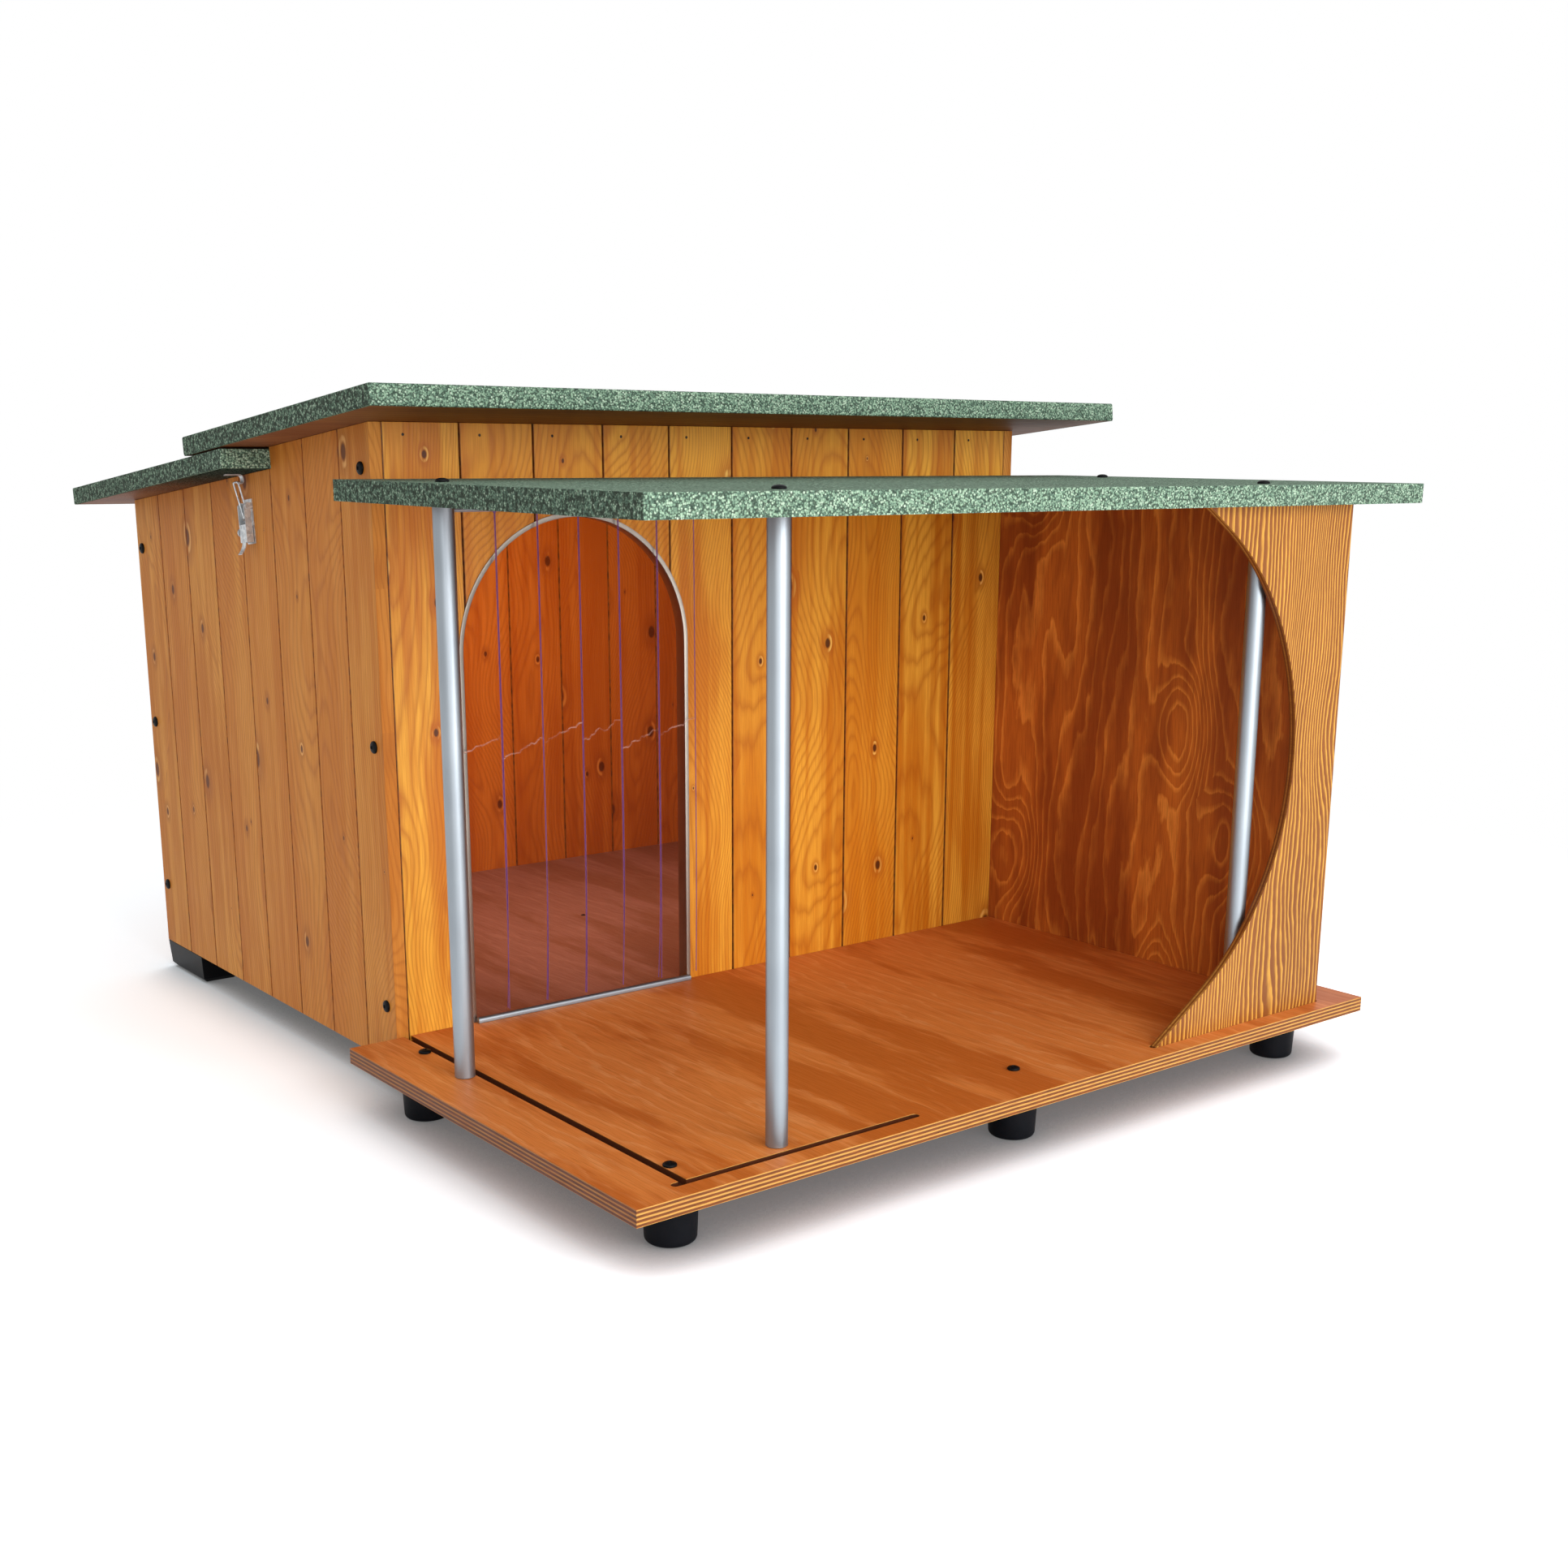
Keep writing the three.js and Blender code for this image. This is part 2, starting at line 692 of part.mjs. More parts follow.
// a drawn tube with a solid plug in each end, a stud below and a bolt hole above
function makePost(length) {
  const bore = postRadius - postWall;
  return lathe([
    [0, -postStud],
    [studRadius, -postStud],
    [studRadius, 0],
    [postRadius, 0],
    [postRadius, length],
    [boltHole, length],
    [boltHole, length - postPlug],
    [bore, length - postPlug],
    [bore, postPlug],
    [0, postPlug],
  ], tubeSides);
}

for (const at of feet) {
  addPiece(veranda, `platform_foot_${at.name}`, makePlatformFoot(), finishes.blackPlastic, [at.x, at.y, 0]);
  const bolt = makeBolt(footBoltRadius, plyThickness + seat + footBoltGrip);
  addPiece(veranda, `platform_bolt_${at.name}`, bolt, finishes.blackPlastic, [at.x, at.y, floorLevel + seat]);
}

for (const at of posts) {
  const base = floorLevel + seat;
  const length = verandaUnder(at.y - postRadius) - seat - base;
  addPiece(veranda, `post_${at.name}`, makePost(length), finishes.aluminium, [at.x, at.y, base]);
}

// ------------------------------------------------------------------ panels of the right side

function makeSidePanel() {
  const inner = cabinWidth - sidePanelInset - panelThickness;
  const front = -slotFront;
  const shape = outline([
    [-seat, panelFoot],
    [-seat, verandaUnder(-seat) - seat],
    [front, verandaUnder(front) - seat],
    [front, panelFoot],
  ]);
  return prism('x', shape, inner, inner + panelThickness);
}

function makeFrontPanel() {
  const back = -slotFront - seat;
  return prism('y', outline(frontPanel.points), back - panelThickness, back);
}

addPiece(veranda, 'side_panel', makeSidePanel(), finishes.darkPly);
addPiece(veranda, 'front_panel', makeFrontPanel(), finishes.panelPly);

// ------------------------------------------------------------------ veranda roof

const verandaRoof = new THREE.Group();
verandaRoof.position.set(0, 0, verandaRoofHeight);
verandaRoof.rotation.x = Math.atan(verandaRoofFall);
veranda.add(verandaRoof);

const verandaRoofWidth = cabinWidth + verandaRoofLeft + verandaRoofRight;
const verandaRoofPlace = [-verandaRoofLeft, -verandaRoofDepth, 0];
const onVerandaRoof = (solid) => solid.translate(verandaRoofPlace);

function drillForPosts(slab) {
  const drills = posts.map((at) =>
    prism('z', circle(at.x, at.y, boltHole), -past, slabThickness + past, holeSteps));
  return drills.reduce((left, drill) => left.subtract(drill), slab);
}

const verandaLength = verandaRoofDepth - seat;
const verandaBoard = onVerandaRoof(slabBoard(verandaRoofWidth, verandaLength));
const verandaCover = onVerandaRoof(slabCover(verandaRoofWidth, verandaLength));
addPiece(verandaRoof, 'veranda_roof_board', drillForPosts(verandaBoard), finishes.darkPly);
addPiece(verandaRoof, 'veranda_roof_cover', drillForPosts(verandaCover), finishes.shingle);
for (const at of posts) {
  const bolt = makeBolt(studRadius, slabThickness + seat + boltGrip);
  const place = [at.x, at.y, slabThickness + seat];
  addPiece(verandaRoof, `roof_bolt_${at.name}`, bolt, finishes.blackPlastic, place);
}

// ------------------------------------------------------------------ stepped roof

const roof = new THREE.Group();
const roofSlabs = new THREE.Group();
roofSlabs.position.set(0, 0, wallTopFront);
roofSlabs.rotation.x = -slope;
roof.add(roofSlabs);
house.add(roof);

const upperPlace = [-roofSide, -roofFront, 0];
const lowerPlace = [-roofSide, lowerStart, -slabStep];
addPiece(roofSlabs, 'upper_roof_board', slabBoard(roofWidth, upperLength), finishes.darkPly, upperPlace);
addPiece(roofSlabs, 'upper_roof_cover', slabCover(roofWidth, upperLength), finishes.shingle, upperPlace);
addPiece(roofSlabs, 'lower_roof_board', slabBoard(roofWidth, lowerLength), finishes.darkPly, lowerPlace);
addPiece(roofSlabs, 'lower_roof_cover', slabCover(roofWidth, lowerLength), finishes.shingle, lowerPlace);

// a rail inside a side wall, cut to the step of the roof, between the corner posts
function makeRoofRail(x) {
  const front = innerFront + cornerPostSize + railEndGap;
  const rear = innerRear - cornerPostSize - railEndGap;
  const band = outline([
    roofPoint(-roofFront, 0),
    roofPoint(lowerEnd, 0),
    roofPoint(lowerEnd, -slabStep - railDepth),
    roofPoint(-roofFront, -slabStep - railDepth),
  ]);
  const rail = prism('x', band, x, x + railPly).intersect(underRoof(seat));
  return rail.intersect(box(x, x + railPly, front, rear, 0, wallTopFront));
}

const railInset = boardThickness + railSideGap;
addPiece(roof, 'roof_rail_left', makeRoofRail(railInset), finishes.batten);
addPiece(roof, 'roof_rail_right', makeRoofRail(cabinWidth - railInset - railPly), finishes.batten);

// ------------------------------------------------------------------ draw latches

// outlines of the latch lie in (out, drop): out from the wall and down from the roof.
// side is -1 on the left wall and 1 on the right, and the latch's width runs along the slope.
function latchPrism(side, shape, from, to, segments = holeSteps) {
  const solid = prism('y', shape, from, to, segments);
  return side < 0 ? solid.mirror([1, 0, 0]) : solid;
}

const latchOutline = (points) => outline(points.map(([out, drop]) => [out, -drop]));

// one piece on each cheek of a channel, both symmetric about the latch's middle
function bothCheeks(side, shape, inner, outer) {
  return latchPrism(side, shape, inner, outer).add(latchPrism(side, shape, -outer, -inner));
}

function makeLatchBase(side) {
  const back = latchPrism(
    side,
    latchOutline([[seat, baseTop], [seat + plate, baseTop], [seat + plate, baseEnd], [seat, baseEnd]]),
    -earHalf,
    earHalf,
  );
  const earInner = leverHalf + seat;
  const ear = latchOutline([
    [seat, pivotDrop - earRadius],
    ...arcPoints(pivotOut, pivotDrop, earRadius, -90, 90, holeSteps),
    [seat, pivotDrop + earRadius],
  ]);
  const rivet = circle(pivotOut, -pivotDrop, rivetRadius);
  const rivetInner = leverHalf - sheet - seat;
  const eyeInner = earHalf - seat;
  const eyeOuter = eyeInner + 2 * seat + plate;
  const eye = circle(eyeOut, -eyeDrop, eyeRadius);
  const tab = latchOutline([
    [seat, eyeDrop - eyeRadius],
    [eyeOut, eyeDrop - eyeRadius],
    [eyeOut, eyeDrop + eyeRadius],
    [seat, eyeDrop + eyeRadius],
  ]);
  const bored = latchPrism(side, circle(eyeOut, -eyeDrop, eyeHole), eyeInner - past, eyeOuter + past);
  return back
    .add(bothCheeks(side, ear, earInner, earHalf))
    .add(bothCheeks(side, rivet, rivetInner, earHalf - seat))
    .add(latchPrism(side, eye, eyeInner, eyeOuter))
    .add(latchPrism(side, tab, eyeInner, eyeOuter))
    .subtract(bored);
}

// a channel that turns on the base's rivets, with a tail to pull; the origin is its pivot
function makeLatchLever(side) {
  const local = (points) => latchOutline(points.map(([out, drop]) => [out - pivotOut, drop - pivotDrop]));
  const cheek = local([
    [leverInner, leverEnd],
    [leverInner, pivotDrop],
    ...arcPoints(pivotOut, pivotDrop, leverNose, noseAngle - 180, -noseAngle, bendSteps),
    [leverOuter, pivotDrop + seat],
    [leverOuter, leverEnd],
  ]);
  const face = local([
    [leverOuter - sheet, bailPivotDrop + webDrop],
    [leverOuter, bailPivotDrop + webDrop],
    [leverOuter, leverEnd],
    [leverOuter - sheet, leverEnd],
  ]);
  const tailLine = [];
  for (let i = 0; i <= bendSteps; i += 1) {
    const t = i / bendSteps;
    tailLine.push([leverOuter - sheet / 2 + tailOut * t * t, leverEnd - sheet + (tailDrop + sheet) * t]);
  }
  const tail = ribbon(
    tailLine.map(([out, drop]) => [out - pivotOut, pivotDrop - drop]),
    sheet,
  );
  const pivotHole = circle(0, 0, rivetRadius + rivetPlay);
  const bailHole = circle(bailPivotOut - pivotOut, pivotDrop - bailPivotDrop, wireRadius + rivetPlay);
  const reach = leverHalf + past;
  return bothCheeks(side, cheek, leverHalf - sheet, leverHalf)
    .add(latchPrism(side, face, -leverHalf, leverHalf))
    .add(latchPrism(side, tail, -tailHalf, tailHalf))
    .subtract(latchPrism(side, pivotHole, -reach, reach))
    .subtract(latchPrism(side, bailHole, -reach, reach));
}

// a bent wire: two ends in the lever, two legs and the bar for the catch; the origin is its pivot
function makeLatchBail(side) {
  const lean = radians(bailTilt);
  const end = leverHalf + 2 * seat;
  const corner = bendSteps / 2;
  const flat = [
    [end, 0],
    ...arcPoints(bailHalf + wireBend, wireBend, wireBend, 270, 180, corner),
    ...arcPoints(bailHalf - wireBend, bailReach - wireBend, wireBend, 0, 90, corner),
  ];
  const mirrored = flat.map(([across, up]) => [-across, up]).reverse();
  const path = [...flat, ...mirrored].map(
    ([across, up]) => new THREE.Vector3(side * up * Math.sin(lean), across, up * Math.cos(lean)),
  );
  const geometry = new THREE.ExtrudeGeometry(circle(0, 0, wireRadius), {
    steps: path.length - 1,
    extrudePath: new PointPath(path),
    curveSegments: 4,
    bevelEnabled: false,
  });
  return toSolid(geometry);
}

// a plate under the roof that turns down by the wall and hooks outward
function makeRoofCatch(side) {
  const under = seat + plate / 2;
  const line = [
    [catchOut, under],
    ...arcPoints(catchNeck + catchBend, under + catchBend, catchBend, -90, -180, bendSteps),
    ...arcPoints(catchNeck + hookBend, hookDrop, hookBend, 180, hookTip, bendSteps),
  ];
  const shape = ribbon(line.map(([out, drop]) => [out, -drop]), plate);
  return latchPrism(side, shape, -catchHalf, catchHalf);
}

const latchSides = [
  { name: 'left', side: -1, x: 0 },
  { name: 'right', side: 1, x: cabinWidth },
];

for (const { name, side, x } of latchSides) {
  const [depth, height] = roofPoint(latchAlong, -slabStep);
  const onWall = new THREE.Group();
  onWall.position.set(x, depth, height);
  onWall.rotation.x = -slope;
  cabin.add(onWall);
  const leverPlace = [side * pivotOut, 0, -pivotDrop];
  const bailPlace = [side * bailPivotOut, 0, -bailPivotDrop];
  addPiece(onWall, `latch_base_${name}`, makeLatchBase(side), finishes.steel);
  addPiece(onWall, `latch_lever_${name}`, makeLatchLever(side), finishes.steel, leverPlace);
  addPiece(onWall, `latch_bail_${name}`, makeLatchBail(side), finishes.steel, bailPlace);
  const catchPlace = [x, latchAlong, -slabStep];
  addPiece(roofSlabs, `roof_catch_${name}`, makeRoofCatch(side), finishes.steel, catchPlace);
}

// ------------------------------------------------------------------ origin

const size = new THREE.Box3().setFromObject(house);
house.position.set(-(size.min.x + size.max.x) / 2, -(size.min.y + size.max.y) / 2, -size.min.z);

export default house;
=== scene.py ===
# %% [markdown]
# # A boarded dog house with a roofed veranda
# The house is timber: a cabin of upright pine boards, a stepped roof that lifts off once two
# draw latches are open, and a ply veranda on four aluminium posts. Its solids come from the
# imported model, and this lesson gives them eased edges, real finishes and the small parts that
# the solids leave out. Everything is in metres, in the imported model's own frame.

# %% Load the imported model
import json
import math
import random

import bmesh
import bpy
from mathutils import Matrix, Vector


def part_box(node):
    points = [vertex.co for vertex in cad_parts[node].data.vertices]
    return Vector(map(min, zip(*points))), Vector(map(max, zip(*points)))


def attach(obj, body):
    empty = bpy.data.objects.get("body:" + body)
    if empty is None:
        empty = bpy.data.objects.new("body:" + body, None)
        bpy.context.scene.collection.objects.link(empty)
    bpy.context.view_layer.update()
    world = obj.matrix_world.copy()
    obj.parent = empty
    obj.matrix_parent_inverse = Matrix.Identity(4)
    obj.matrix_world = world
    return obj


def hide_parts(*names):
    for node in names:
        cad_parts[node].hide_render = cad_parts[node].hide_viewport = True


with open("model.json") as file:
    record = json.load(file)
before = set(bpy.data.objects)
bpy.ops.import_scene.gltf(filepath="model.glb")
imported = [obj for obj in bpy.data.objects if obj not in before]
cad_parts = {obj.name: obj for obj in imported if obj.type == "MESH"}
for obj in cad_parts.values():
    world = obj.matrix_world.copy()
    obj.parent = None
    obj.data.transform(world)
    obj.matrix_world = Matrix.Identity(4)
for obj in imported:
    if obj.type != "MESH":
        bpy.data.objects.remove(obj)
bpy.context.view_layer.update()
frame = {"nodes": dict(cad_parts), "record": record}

# %% [markdown]
# ## Where the house stands
# Many small parts are placed from the cabin's front left corner, because a maker measures from
# there too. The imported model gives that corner, so nothing has to be fitted by eye.

# %% Datum points and driving sizes
MM = 0.001
CABIN_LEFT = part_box("side_wall_left")[0].x
CABIN_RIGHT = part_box("side_wall_right")[1].x
CABIN_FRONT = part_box("side_wall_left")[0].y
CABIN_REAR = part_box("side_wall_left")[1].y
FLOOR_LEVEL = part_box("platform")[1].z
BOARD_THICKNESS = 17 * MM
BOARD_COVER = 106 * MM
REAR_BOARD = 102 * MM  # last board of a side wall
BOARDS_ACROSS = 10
SEAT = 0.3 * MM  # the gap between two pieces that touch
print(f"cabin {CABIN_RIGHT - CABIN_LEFT:.3f} x {CABIN_REAR - CABIN_FRONT:.3f} m")


def on_cabin(x, y, z):
    """A place given in millimetres from the cabin's front left corner at ground level."""
    return Vector((CABIN_LEFT + x * MM, CABIN_FRONT + y * MM, z * MM))


# %% [markdown]
# ## Colours and nodes
# A designer writes colours as sRGB hex, and the renderer wants linear light, so one function
# turns the first into the second. A second one adds a shader node with its settings and links:
# every material below is built from it.

# %% Helpers for materials
RGBA = {"data_type": "RGBA"}  # a Mix node that mixes colours
SMOOTH = {"interpolation_type": "SMOOTHSTEP"}  # a Map Range node that eases in and out


def srgb(code):
    """A hex colour such as "#c98a3a" as linear red, green, blue and full alpha."""
    parts = [int(code[i:i + 2], 16) / 255 for i in (1, 3, 5)]
    linear = [c / 12.92 if c <= 0.04045 else ((c + 0.055) / 1.055) ** 2.4 for c in parts]
    return (*linear, 1.0)


def add(tree, kind, inputs=None, stops=None, **settings):
    """Adds a shader node. An input is a number, a hex colour, a socket or another node."""
    made = tree.nodes.new("ShaderNode" + kind)
    for name, value in settings.items():
        setattr(made, name, value)
    if stops:
        ramp = made.color_ramp
        while len(ramp.elements) < len(stops):
            ramp.elements.new(1.0)
        for element, (place, colour) in zip(ramp.elements, stops):
            element.position = place
            element.color = srgb(colour) if isinstance(colour, str) else (colour,) * 3 + (1,)
    for name, value in (inputs or {}).items():
        shown = [s for s in made.inputs if s.enabled]
        socket = shown[name] if isinstance(name, int) else next(s for s in shown if s.name == name)
        if isinstance(value, bpy.types.Node):
            value = next(s for s in value.outputs if s.enabled)
        if isinstance(value, bpy.types.NodeSocket):
            tree.links.new(value, socket)
        else:
            socket.default_value = srgb(value) if isinstance(value, str) else value
    return made


def new_material(name, **shader_values):
    """A material with its constants on the shader, given as Metallic=1.0 and so on."""
    material = bpy.data.materials.new(name)
    material.use_nodes = True
    shader = material.node_tree.nodes["Principled BSDF"]
    for key, value in shader_values.items():
        shader.inputs[key.replace("_", " ")].default_value = value
    return material, material.node_tree, shader


def surface(tree, shader, colour, relief, strength, depth, rough=None, soft_edge=None):
    """Ends a finish: its colour, its relief and, where it varies, its roughness."""
    tree.links.new(colour.outputs[2], shader.inputs["Base Color"])
    if rough:
        tree.links.new(rough.outputs[0], shader.inputs["Roughness"])
    heights = {"Height": relief, "Strength": strength, "Distance": depth}
    if soft_edge:
        heights["Normal"] = soft_edge
    bump = add(tree, "Bump", heights)
    tree.links.new(bump.outputs[0], shader.inputs["Normal"])


print("one orange in linear light:", [round(c, 3) for c in srgb("#d2893a")])

# %% [markdown]
# ## Patterns that several finishes share
# Wood of every kind is drawn out along its grain, so its noise is stretched by a different amount
# along each axis. Knots are scattered, and what matters is the way to the nearest. A few finishes
# also change by where they are: near a middle line, or inside a box.

# %% Helpers for patterns
def drawn_out(tree, spot, stretch, detail, **settings):
    """A noise with its own number of waves in a metre along each axis."""
    place = add(tree, "VectorMath", {0: spot, 1: stretch}, operation="MULTIPLY")
    return add(tree, "TexNoise", {"Vector": place, "Scale": 1.0, "Detail": detail, **settings})


def away_from(tree, value, middle):
    """How far a value is from a middle one, on whichever side."""
    apart = add(tree, "Math", {0: value, 1: middle}, operation="SUBTRACT")
    return add(tree, "Math", {0: apart}, operation="ABSOLUTE")


def nearest_knot(tree, spot, cell, flattened):
    """One knot to a cell: the way from the nearest and how far it is, in metres, and its luck."""
    per_cell = (1 / cell[0], 1 / cell[1], 0)
    cells = add(tree, "VectorMath", {0: spot, 1: per_cell}, operation="MULTIPLY")
    knots = add(tree, "TexVoronoi", {"Vector": cells, "Scale": 1.0}, voronoi_dimensions="2D")
    way = add(tree, "VectorMath", {0: cells, 1: knots.outputs["Position"]}, operation="SUBTRACT")
    in_metres = (cell[0], cell[1] * flattened, 0)
    way = add(tree, "VectorMath", {0: way, 1: in_metres}, operation="MULTIPLY")
    near = add(tree, "VectorMath", {0: way}, operation="LENGTH").outputs["Value"]
    return way, near, knots.outputs["Color"]


def inside_box(tree, axes, low, high, insets):
    """1 within a box that is smaller by an inset at each end of an axis, and 0 outside it."""
    inside = None
    for axis, inset in enumerate(insets):
        off = away_from(tree, axes.outputs[axis], (low[axis] + high[axis]) / 2)
        reach = (high[axis] - low[axis]) / 2 - inset
        within = add(tree, "Math", {0: off, 1: reach}, operation="LESS_THAN")
        if inside:
            within = add(tree, "Math", {0: inside, 1: within}, operation="MULTIPLY")
        inside = within
    return inside


print("patterns: drawn-out noise, distance from a middle, nearest knot, inside a box")

# %% [markdown]
# ## Knotty pine boards
# The walls are planed pine boards with a honey stain. A board shows three things: the growth
# rings, which a saw cuts into long lines and arches, the knots, round which the lines flow, and
# its own tone. The rings come from the distance to the middle of a log that wanders along the
# board. A cell pattern scatters the knots and pulls the lines round them. The stain gathers in
# the joints, so a thin dark line is drawn there.

# %% Where a point is on its own board
def board_place(t, axes, across, first_joint):
    """Across and along the board in metres, across it as a share, and its luck with tone."""
    side, deep, up = axes.outputs[across], axes.outputs[1 - across], axes.outputs[2]
    count = add(t, "Math", {0: side, 1: first_joint}, operation="SUBTRACT")
    count = add(t, "Math", {0: count, 1: BOARD_COVER}, operation="DIVIDE")
    board = add(t, "Math", {0: count}, operation="FLOOR")
    share = add(t, "Math", {0: count}, operation="FRACT")
    # the wall counts too, so that opposite walls don't match
    wall = add(t, "Math", {0: deep, 1: 9.0}, operation="MULTIPLY")
    wall = add(t, "Math", {0: wall}, operation="ROUND")
    seed = add(t, "Math", {0: wall, 1: 13.7, 2: board}, operation="MULTIPLY_ADD")
    chance = add(t, "TexWhiteNoise", {"W": seed}, noise_dimensions="1D")
    luck = add(t, "SeparateColor", {0: chance.outputs["Color"]})
    x = add(t, "Math", {0: share, 1: BOARD_COVER}, operation="MULTIPLY")
    y = add(t, "Math", {0: luck.outputs[0], 1: 23.0, 2: up}, operation="MULTIPLY_ADD")
    return x, y, share, luck.outputs[1]


print("boards cover", round(BOARD_COVER / MM), "mm each")

# %% Knots and growth rings
RING_WIDTH = 5.5 * MM
KNOT_CELL = (106 * MM, 165 * MM)  # about one knot for this area
SMALL_KNOT, LARGE_KNOT = 0.2 * MM, 8.5 * MM  # radii


def bent_by_knots(t, spot, x):
    """Where the lines run across the board, how far the nearest knot is, and the knot's size."""
    way, near, chance = nearest_knot(t, spot, KNOT_CELL, 0.62)
    way_across = add(t, "SeparateXYZ", {0: way}).outputs[0]
    luck = add(t, "SeparateColor", {0: chance})
    size = add(t, "MapRange", {0: luck.outputs[0], 1: 0.25, 2: 1.0, 3: SMALL_KNOT, 4: LARGE_KNOT})
    reach = add(t, "Math", {0: size, 1: 3.4, 2: 2 * MM}, operation="MULTIPLY_ADD")
    pull = add(t, "MapRange", {0: near, 1: 0.0, 2: reach, 3: 0.95, 4: 0.0}, **SMOOTH)
    moved = add(t, "Math", {0: way_across, 1: pull}, operation="MULTIPLY")
    return add(t, "Math", {0: x, 1: moved}, operation="SUBTRACT"), near, size


def late_wood(t, spot, bent, ripple):
    """The dark side of each growth ring, about a log whose middle wanders along the board."""
    drift = drawn_out(t, spot, (1.5, 1.35, 4.0), 1.5)
    drift = add(t, "SeparateColor", {0: drift.outputs["Color"]})
    middle = add(t, "MapRange", {0: drift.outputs[0], 1: 0.3, 2: 0.7, 3: -0.09, 4: 0.15})
    from_middle = add(t, "Math", {0: bent, 1: middle}, operation="SUBTRACT")
    height = add(t, "MapRange", {0: drift.outputs[1], 1: 0.3, 2: 0.7, 3: 0.004, 4: 0.085})
    log = add(t, "CombineXYZ", {0: from_middle, 1: height})
    radius = add(t, "VectorMath", {0: log}, operation="LENGTH").outputs["Value"]
    rings = add(t, "Math", {0: radius, 1: RING_WIDTH}, operation="DIVIDE")
    rings = add(t, "Math", {0: ripple, 1: 1.1, 2: rings}, operation="MULTIPLY_ADD")
    ring = add(t, "Math", {0: rings}, operation="FRACT")
    return add(t, "ValToRGB", {0: ring}, stops=[
        (0.0, 0.35), (0.18, 0.05), (0.55, 0.12), (0.86, 1.0), (1.0, 0.4)])


print("rings", RING_WIDTH / MM, "mm apart, knots up to", LARGE_KNOT / MM, "mm in radius")

# %% Stain on the wood, round the knots and in the joints
JOINT_STAIN = 2.7 * MM
JOINT_GAP = 0.8 * MM


def plain_wood(t, spot, bent_spot, luck, late, fibres, tones):
    """The wood between the knots: pale and honey patches, the board's own tone, its lines."""
    cloud = drawn_out(t, spot, (14, 3.2, 14), 2.0)
    streak = drawn_out(t, bent_spot, (62, 1.3, 62), 3.0, Roughness=0.5)
    blotch = add(t, "Math", {0: cloud, 1: 0.8, 2: streak}, operation="MULTIPLY_ADD")
    blotch = add(t, "MapRange", {0: blotch, 1: 0.72, 2: 1.08, 3: 0.0, 4: 1.0}, **SMOOTH)
    colour = add(t, "Mix", {"Factor": blotch, "A": tones["pale"], "B": tones["honey"]}, **RGBA)
    own = add(t, "MapRange", {0: luck, 1: 0.0, 2: 1.0, 3: 0.0, 4: 0.75})
    colour = add(t, "Mix", {"Factor": own, "A": colour, "B": tones["warm"]}, **RGBA)
    line = add(t, "Math", {0: late, 1: tones["grain"]}, operation="MULTIPLY")
    colour = add(t, "Mix", {"Factor": line, "A": colour, "B": tones["late"]}, **RGBA)
    hair = add(t, "MapRange", {0: fibres, 1: 0.35, 2: 0.75, 3: 0.0, 4: tones["grain"] * 0.8})
    return add(t, "Mix", {"Factor": hair, "A": colour, "B": tones["late"]}, **RGBA)


def with_knots(t, colour, near, size, ripple, tones):
    """Lays the knots over the wood: a warm halo, a torn pale collar and a dark core."""
    ratio = add(t, "Math", {0: near, 1: size}, operation="DIVIDE")
    halo = add(t, "MapRange", {0: ratio, 1: 1.2, 2: 4.2, 3: 0.6, 4: 0.0}, **SMOOTH)
    colour = add(t, "Mix", {"Factor": halo, "A": colour, "B": tones["halo"]}, **RGBA)
    collar = away_from(t, ratio, 1.45)
    collar = add(t, "MapRange", {0: collar, 1: 0.1, 2: 0.5, 3: 0.9, 4: 0.0}, **SMOOTH)
    torn = add(t, "MapRange", {0: ripple, 1: 0.44, 2: 0.6, 3: 0.0, 4: 1.0}, **SMOOTH)
    collar = add(t, "Math", {0: collar, 1: torn}, operation="MULTIPLY")
    colour = add(t, "Mix", {"Factor": collar, "A": colour, "B": tones["collar"]}, **RGBA)
    core = add(t, "MapRange", {0: ratio, 1: 0.7, 2: 1.15, 3: 0.85, 4: 0.0}, **SMOOTH)
    return add(t, "Mix", {"Factor": core, "A": colour, "B": tones["knot"]}, **RGBA)


def with_joints(t, colour, spot, share, tones):
    """Lays the stain of the joints over the wood, darker where a joint stands open."""
    off = away_from(t, share, 0.5)
    stained, open_gap = 0.5 - JOINT_STAIN / BOARD_COVER, 0.5 - JOINT_GAP / BOARD_COVER
    stain = add(t, "MapRange", {0: off, 1: stained, 2: open_gap, 3: 0.0, 4: 0.9}, **SMOOTH)
    broken = drawn_out(t, spot, (0, 70, 0), 2.0)
    broken = add(t, "MapRange", {0: broken, 1: 0.44, 2: 0.6, 3: 0.0, 4: 1.0})
    joint = add(t, "Mix", {"Factor": broken, "A": tones["joint"], "B": tones["gap"]}, **RGBA)
    return add(t, "Mix", {"Factor": stain, "A": colour, "B": joint}, **RGBA)


def with_inside_shade(t, colour, axes, tones):
    """Painted shade: the inside of the cabin is multiplied by a redder, darker tone."""
    skin = BOARD_THICKNESS - 0.5 * MM
    low, high = (CABIN_LEFT, CABIN_FRONT), (CABIN_RIGHT, CABIN_REAR)
    inside = inside_box(t, axes, low, high, (skin, skin))
    # painted shade: a redder, darker tone over the inside faces of the cabin
    inside_shade = add(t, "Mix", {"Factor": 1.0, "A": colour, "B": tones["inside_shade"]}, **RGBA,
               blend_type="MULTIPLY")
    return add(t, "Mix", {"Factor": inside, "A": colour, "B": inside_shade}, **RGBA)


print("stain gathers within", JOINT_STAIN / MM, "mm of a joint")


